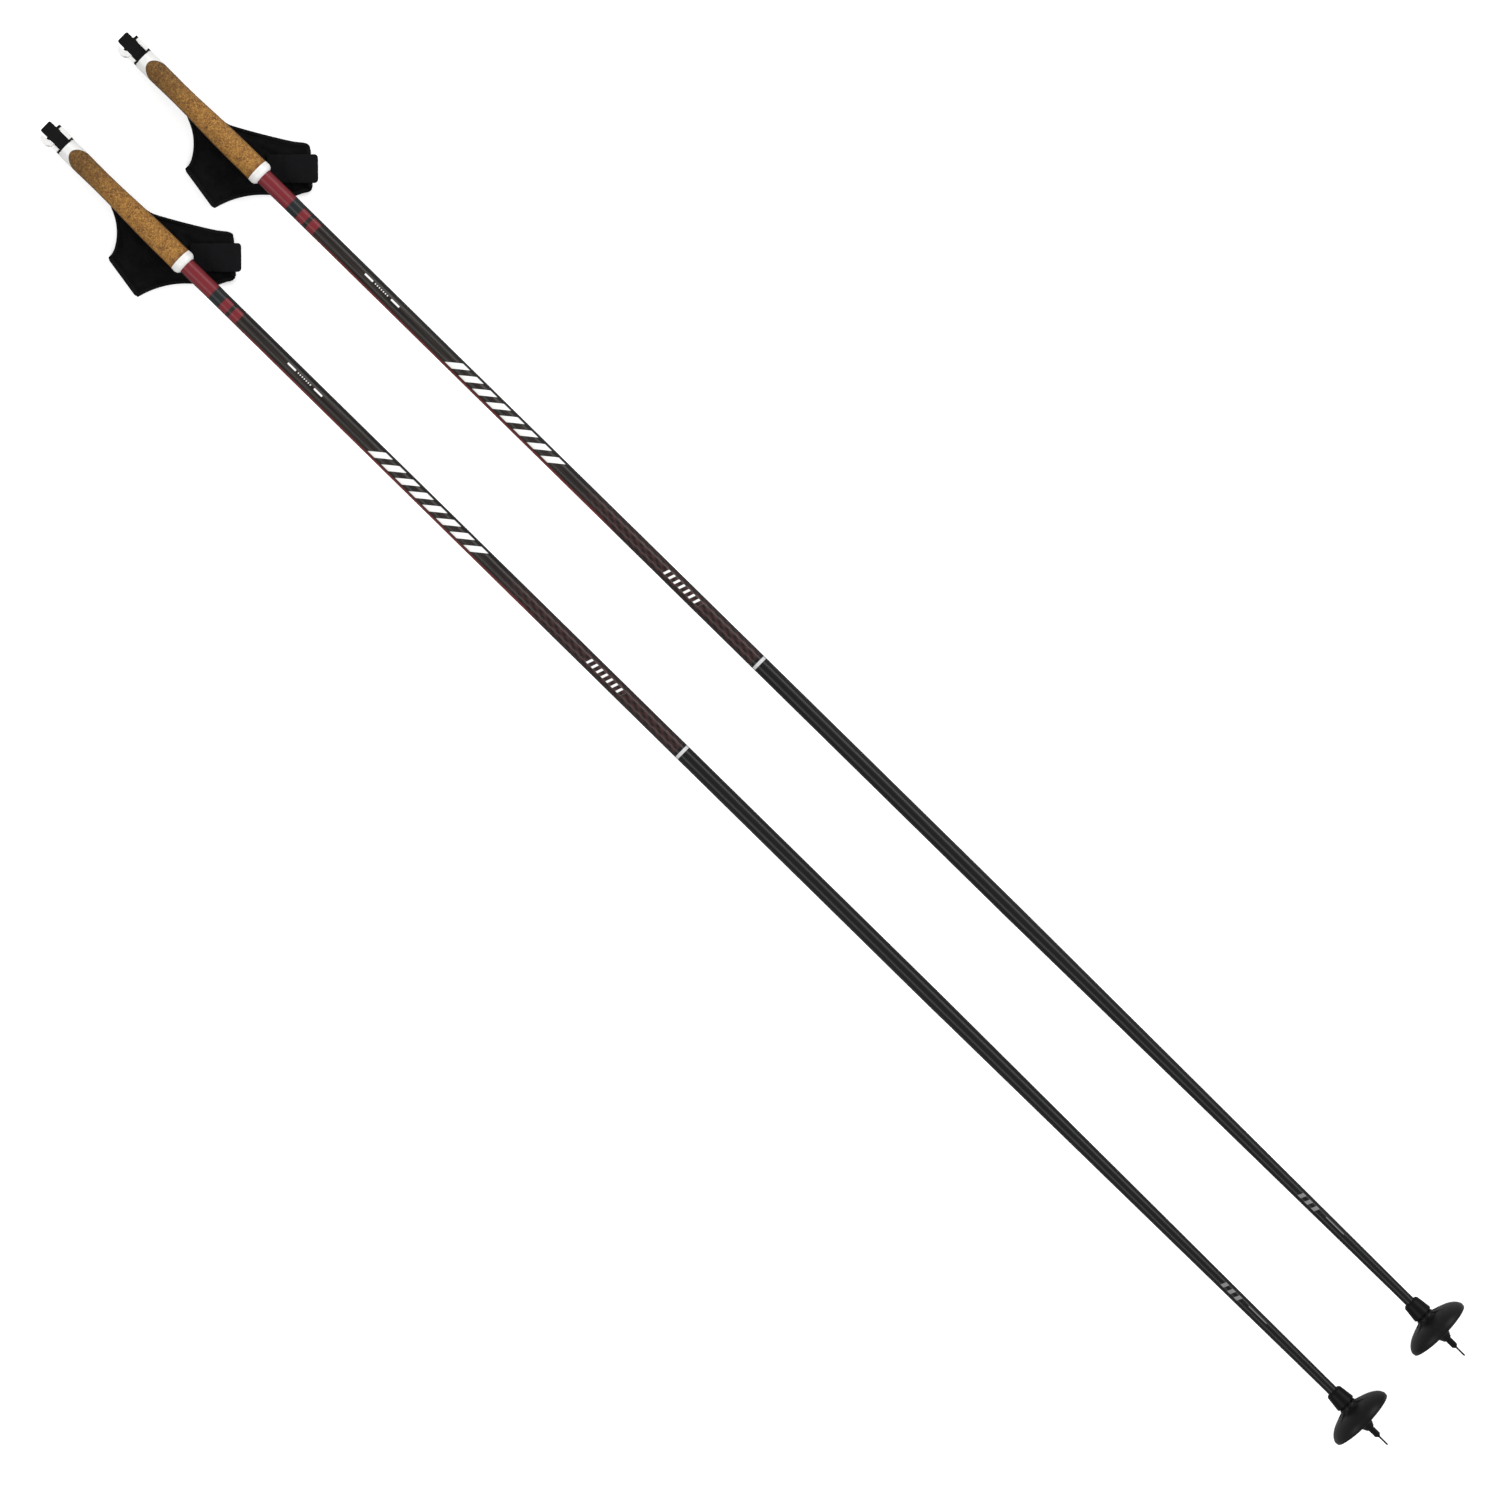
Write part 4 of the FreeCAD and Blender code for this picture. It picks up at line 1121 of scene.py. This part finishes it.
# the webbing's middle, in millimetres from the top of the grip and above the floor
WEBBING_ROUTE = (
    (17, 13.6),
    (17, 11),
    (17.1, 8.5),
    (18.2, 6.3),
    (21, 5),
    (26, 4.6),
    (40, 4.4),
    (60, 4.5),
    (80, 4.7),
    (95, 4.8),
)


def build_webbing(side, tape):
    """The tape that leaves the plug behind the grip and runs down between the panels."""
    base = strap_frame(side)
    points = [base @ (Vector((x, 0, z)) * MM) for x, z in WEBBING_ROUTE]
    points = smoothed(resampled(points, 1.5 * MM), 4)
    mesh = sweep(points, Vector((0, 1, 0)), WEBBING)
    webbing = new_piece(f"{side}_webbing_tape", mesh, tape)
    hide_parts(f"{side}_strap_webbing")
    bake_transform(webbing)


BAND_STEPS = 16
SAG_START = 0.72             # the share of the band's length after which its free end droops
ROOT_SEAMS = (-2.6, -5.0)    # the two rows of stitches, in millimetres from the band's hinge
ROOT_STITCH_PITCH = 1.35
ROOT_STITCH_LENGTH = 0.95
ROOT_STITCH_HEIGHT = 1.72


def closure_strip(name, root, pile, reach, size, lift, corner, sag=0.0):
    """A flat strip along the band's line, all in millimetres from the band's hinge."""
    (start, end), (width, thickness) = reach, size
    points = []
    for step in range(BAND_STEPS + 1):
        share = step / BAND_STEPS
        place = start + (end - start) * share
        drop = sag * (max(share - SAG_START, 0) / (1 - SAG_START)) ** 2
        points.append(root + BAND_ALONG * place * MM + Vector((0, 0, (lift - drop) * MM)))
    section = flat_section(width * MM, thickness * MM, flats=10)
    return new_piece(name, sweep(points, BAND_ACROSS, section, corner * MM), pile)


def build_closure(side, pile, tape):
    """The adjusting band: its sewn root, the part that peels, and the hook patch under it."""
    strap = f"{side}_strap"
    root = strap_frame(side) @ BAND_ROOT
    patch = closure_strip(f"{side}_hook_patch", root, pile, (0.8, 21), (25, 0.9), -0.55, 2)
    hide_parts(f"{side}_closure_patch")
    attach(patch, strap)
    anchor = closure_strip(f"{side}_band_root", root, pile, (-19, 1.0), (26.5, 1.4), 0.95, 0.6)
    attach(anchor, strap)
    band = closure_strip(f"{side}_band_strip", root, pile, (0.2, 28), (26.8, 1.5), 0.95, 3.2, 1.2)
    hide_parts(f"{side}_closure_band")
    start, end = root - BAND_ALONG * 2 * MM, root + BAND_ALONG * 10 * MM
    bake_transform(band)
    mesh = bmesh.new()
    for place in ROOT_SEAMS:
        for step in range(-9, 9):
            shift = (step * ROOT_STITCH_PITCH + 0.2) * MM
            start = root + BAND_ALONG * place * MM + BAND_ACROSS * shift
            start.z += ROOT_STITCH_HEIGHT * MM
            stitch(mesh, start, start + BAND_ACROSS * ROOT_STITCH_LENGTH * MM, 0.26 * MM)
    stitches = new_piece(f"{side}_band_stitches", mesh, tape)
    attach(stitches, strap)


# ---------------------------------------------------------------- finish of the CAD parts


def finish_hard_parts(side, finishes):
    """Give each CAD node that stays its own finish."""
    own = {
        "shaft": carbon_tube(side),
        "cork_grip": pressed_cork(side),
        "grip_core": finishes["white"],
        "release_lever": finishes["white"],
        "end_ring": finishes["white"],
        "head_band": finishes["rubber"],
        "strap_plug": finishes["plug"],
        "collar_nut": finishes["nut"],
        "basket_hub": finishes["basket"],
        "basket_disc": finishes["basket"],
        "tip_ferrule": finishes["nut"],
        "lever_pin": finishes["white"],
        "webbing_pin": finishes["steel"],
        "carbide_tip": finishes["carbide"],
    }
    for node, material in own.items():
        piece = frame["nodes"][f"{side}_{node}"]
        piece.data.materials.clear()
        piece.data.materials.append(material)


make_camera()
make_stage()
FINISHES = {
    "white": plain_moulding("white_grip_plastic", (0.79, 0.785, 0.77), 0.36, dust=0.02),
    "rubber": plain_moulding(
        "black_band_rubber", (0.005, 0.005, 0.005), 0.7, depth=0.00006, specular=0.12
    ),
    "plug": plain_moulding(
        "black_plug_plastic", (0.0042, 0.0040, 0.0039), 0.40, depth=0.00005, specular=0.13
    ),
    "nut": plain_moulding(
        "black_nut_plastic", (0.0036, 0.0036, 0.0040), 0.42, depth=0.00004, specular=0.08
    ),
    "basket": plain_moulding(
        "black_basket_plastic", (0.0046, 0.0046, 0.0053), 0.40, depth=0.00004, dust=0.004, specular=0.14
    ),
    "steel": ground_metal("ground_steel", (0.62, 0.62, 0.61), 0.28),
    "carbide": ground_metal("dark_carbide", (0.03, 0.03, 0.032), 0.35),
}
for pole in SIDES:
    finish_hard_parts(pole, FINISHES)
    tape = woven_tape(pole)
    build_strap(pole, padded_knit(pole), tape, loop_pile(pole))
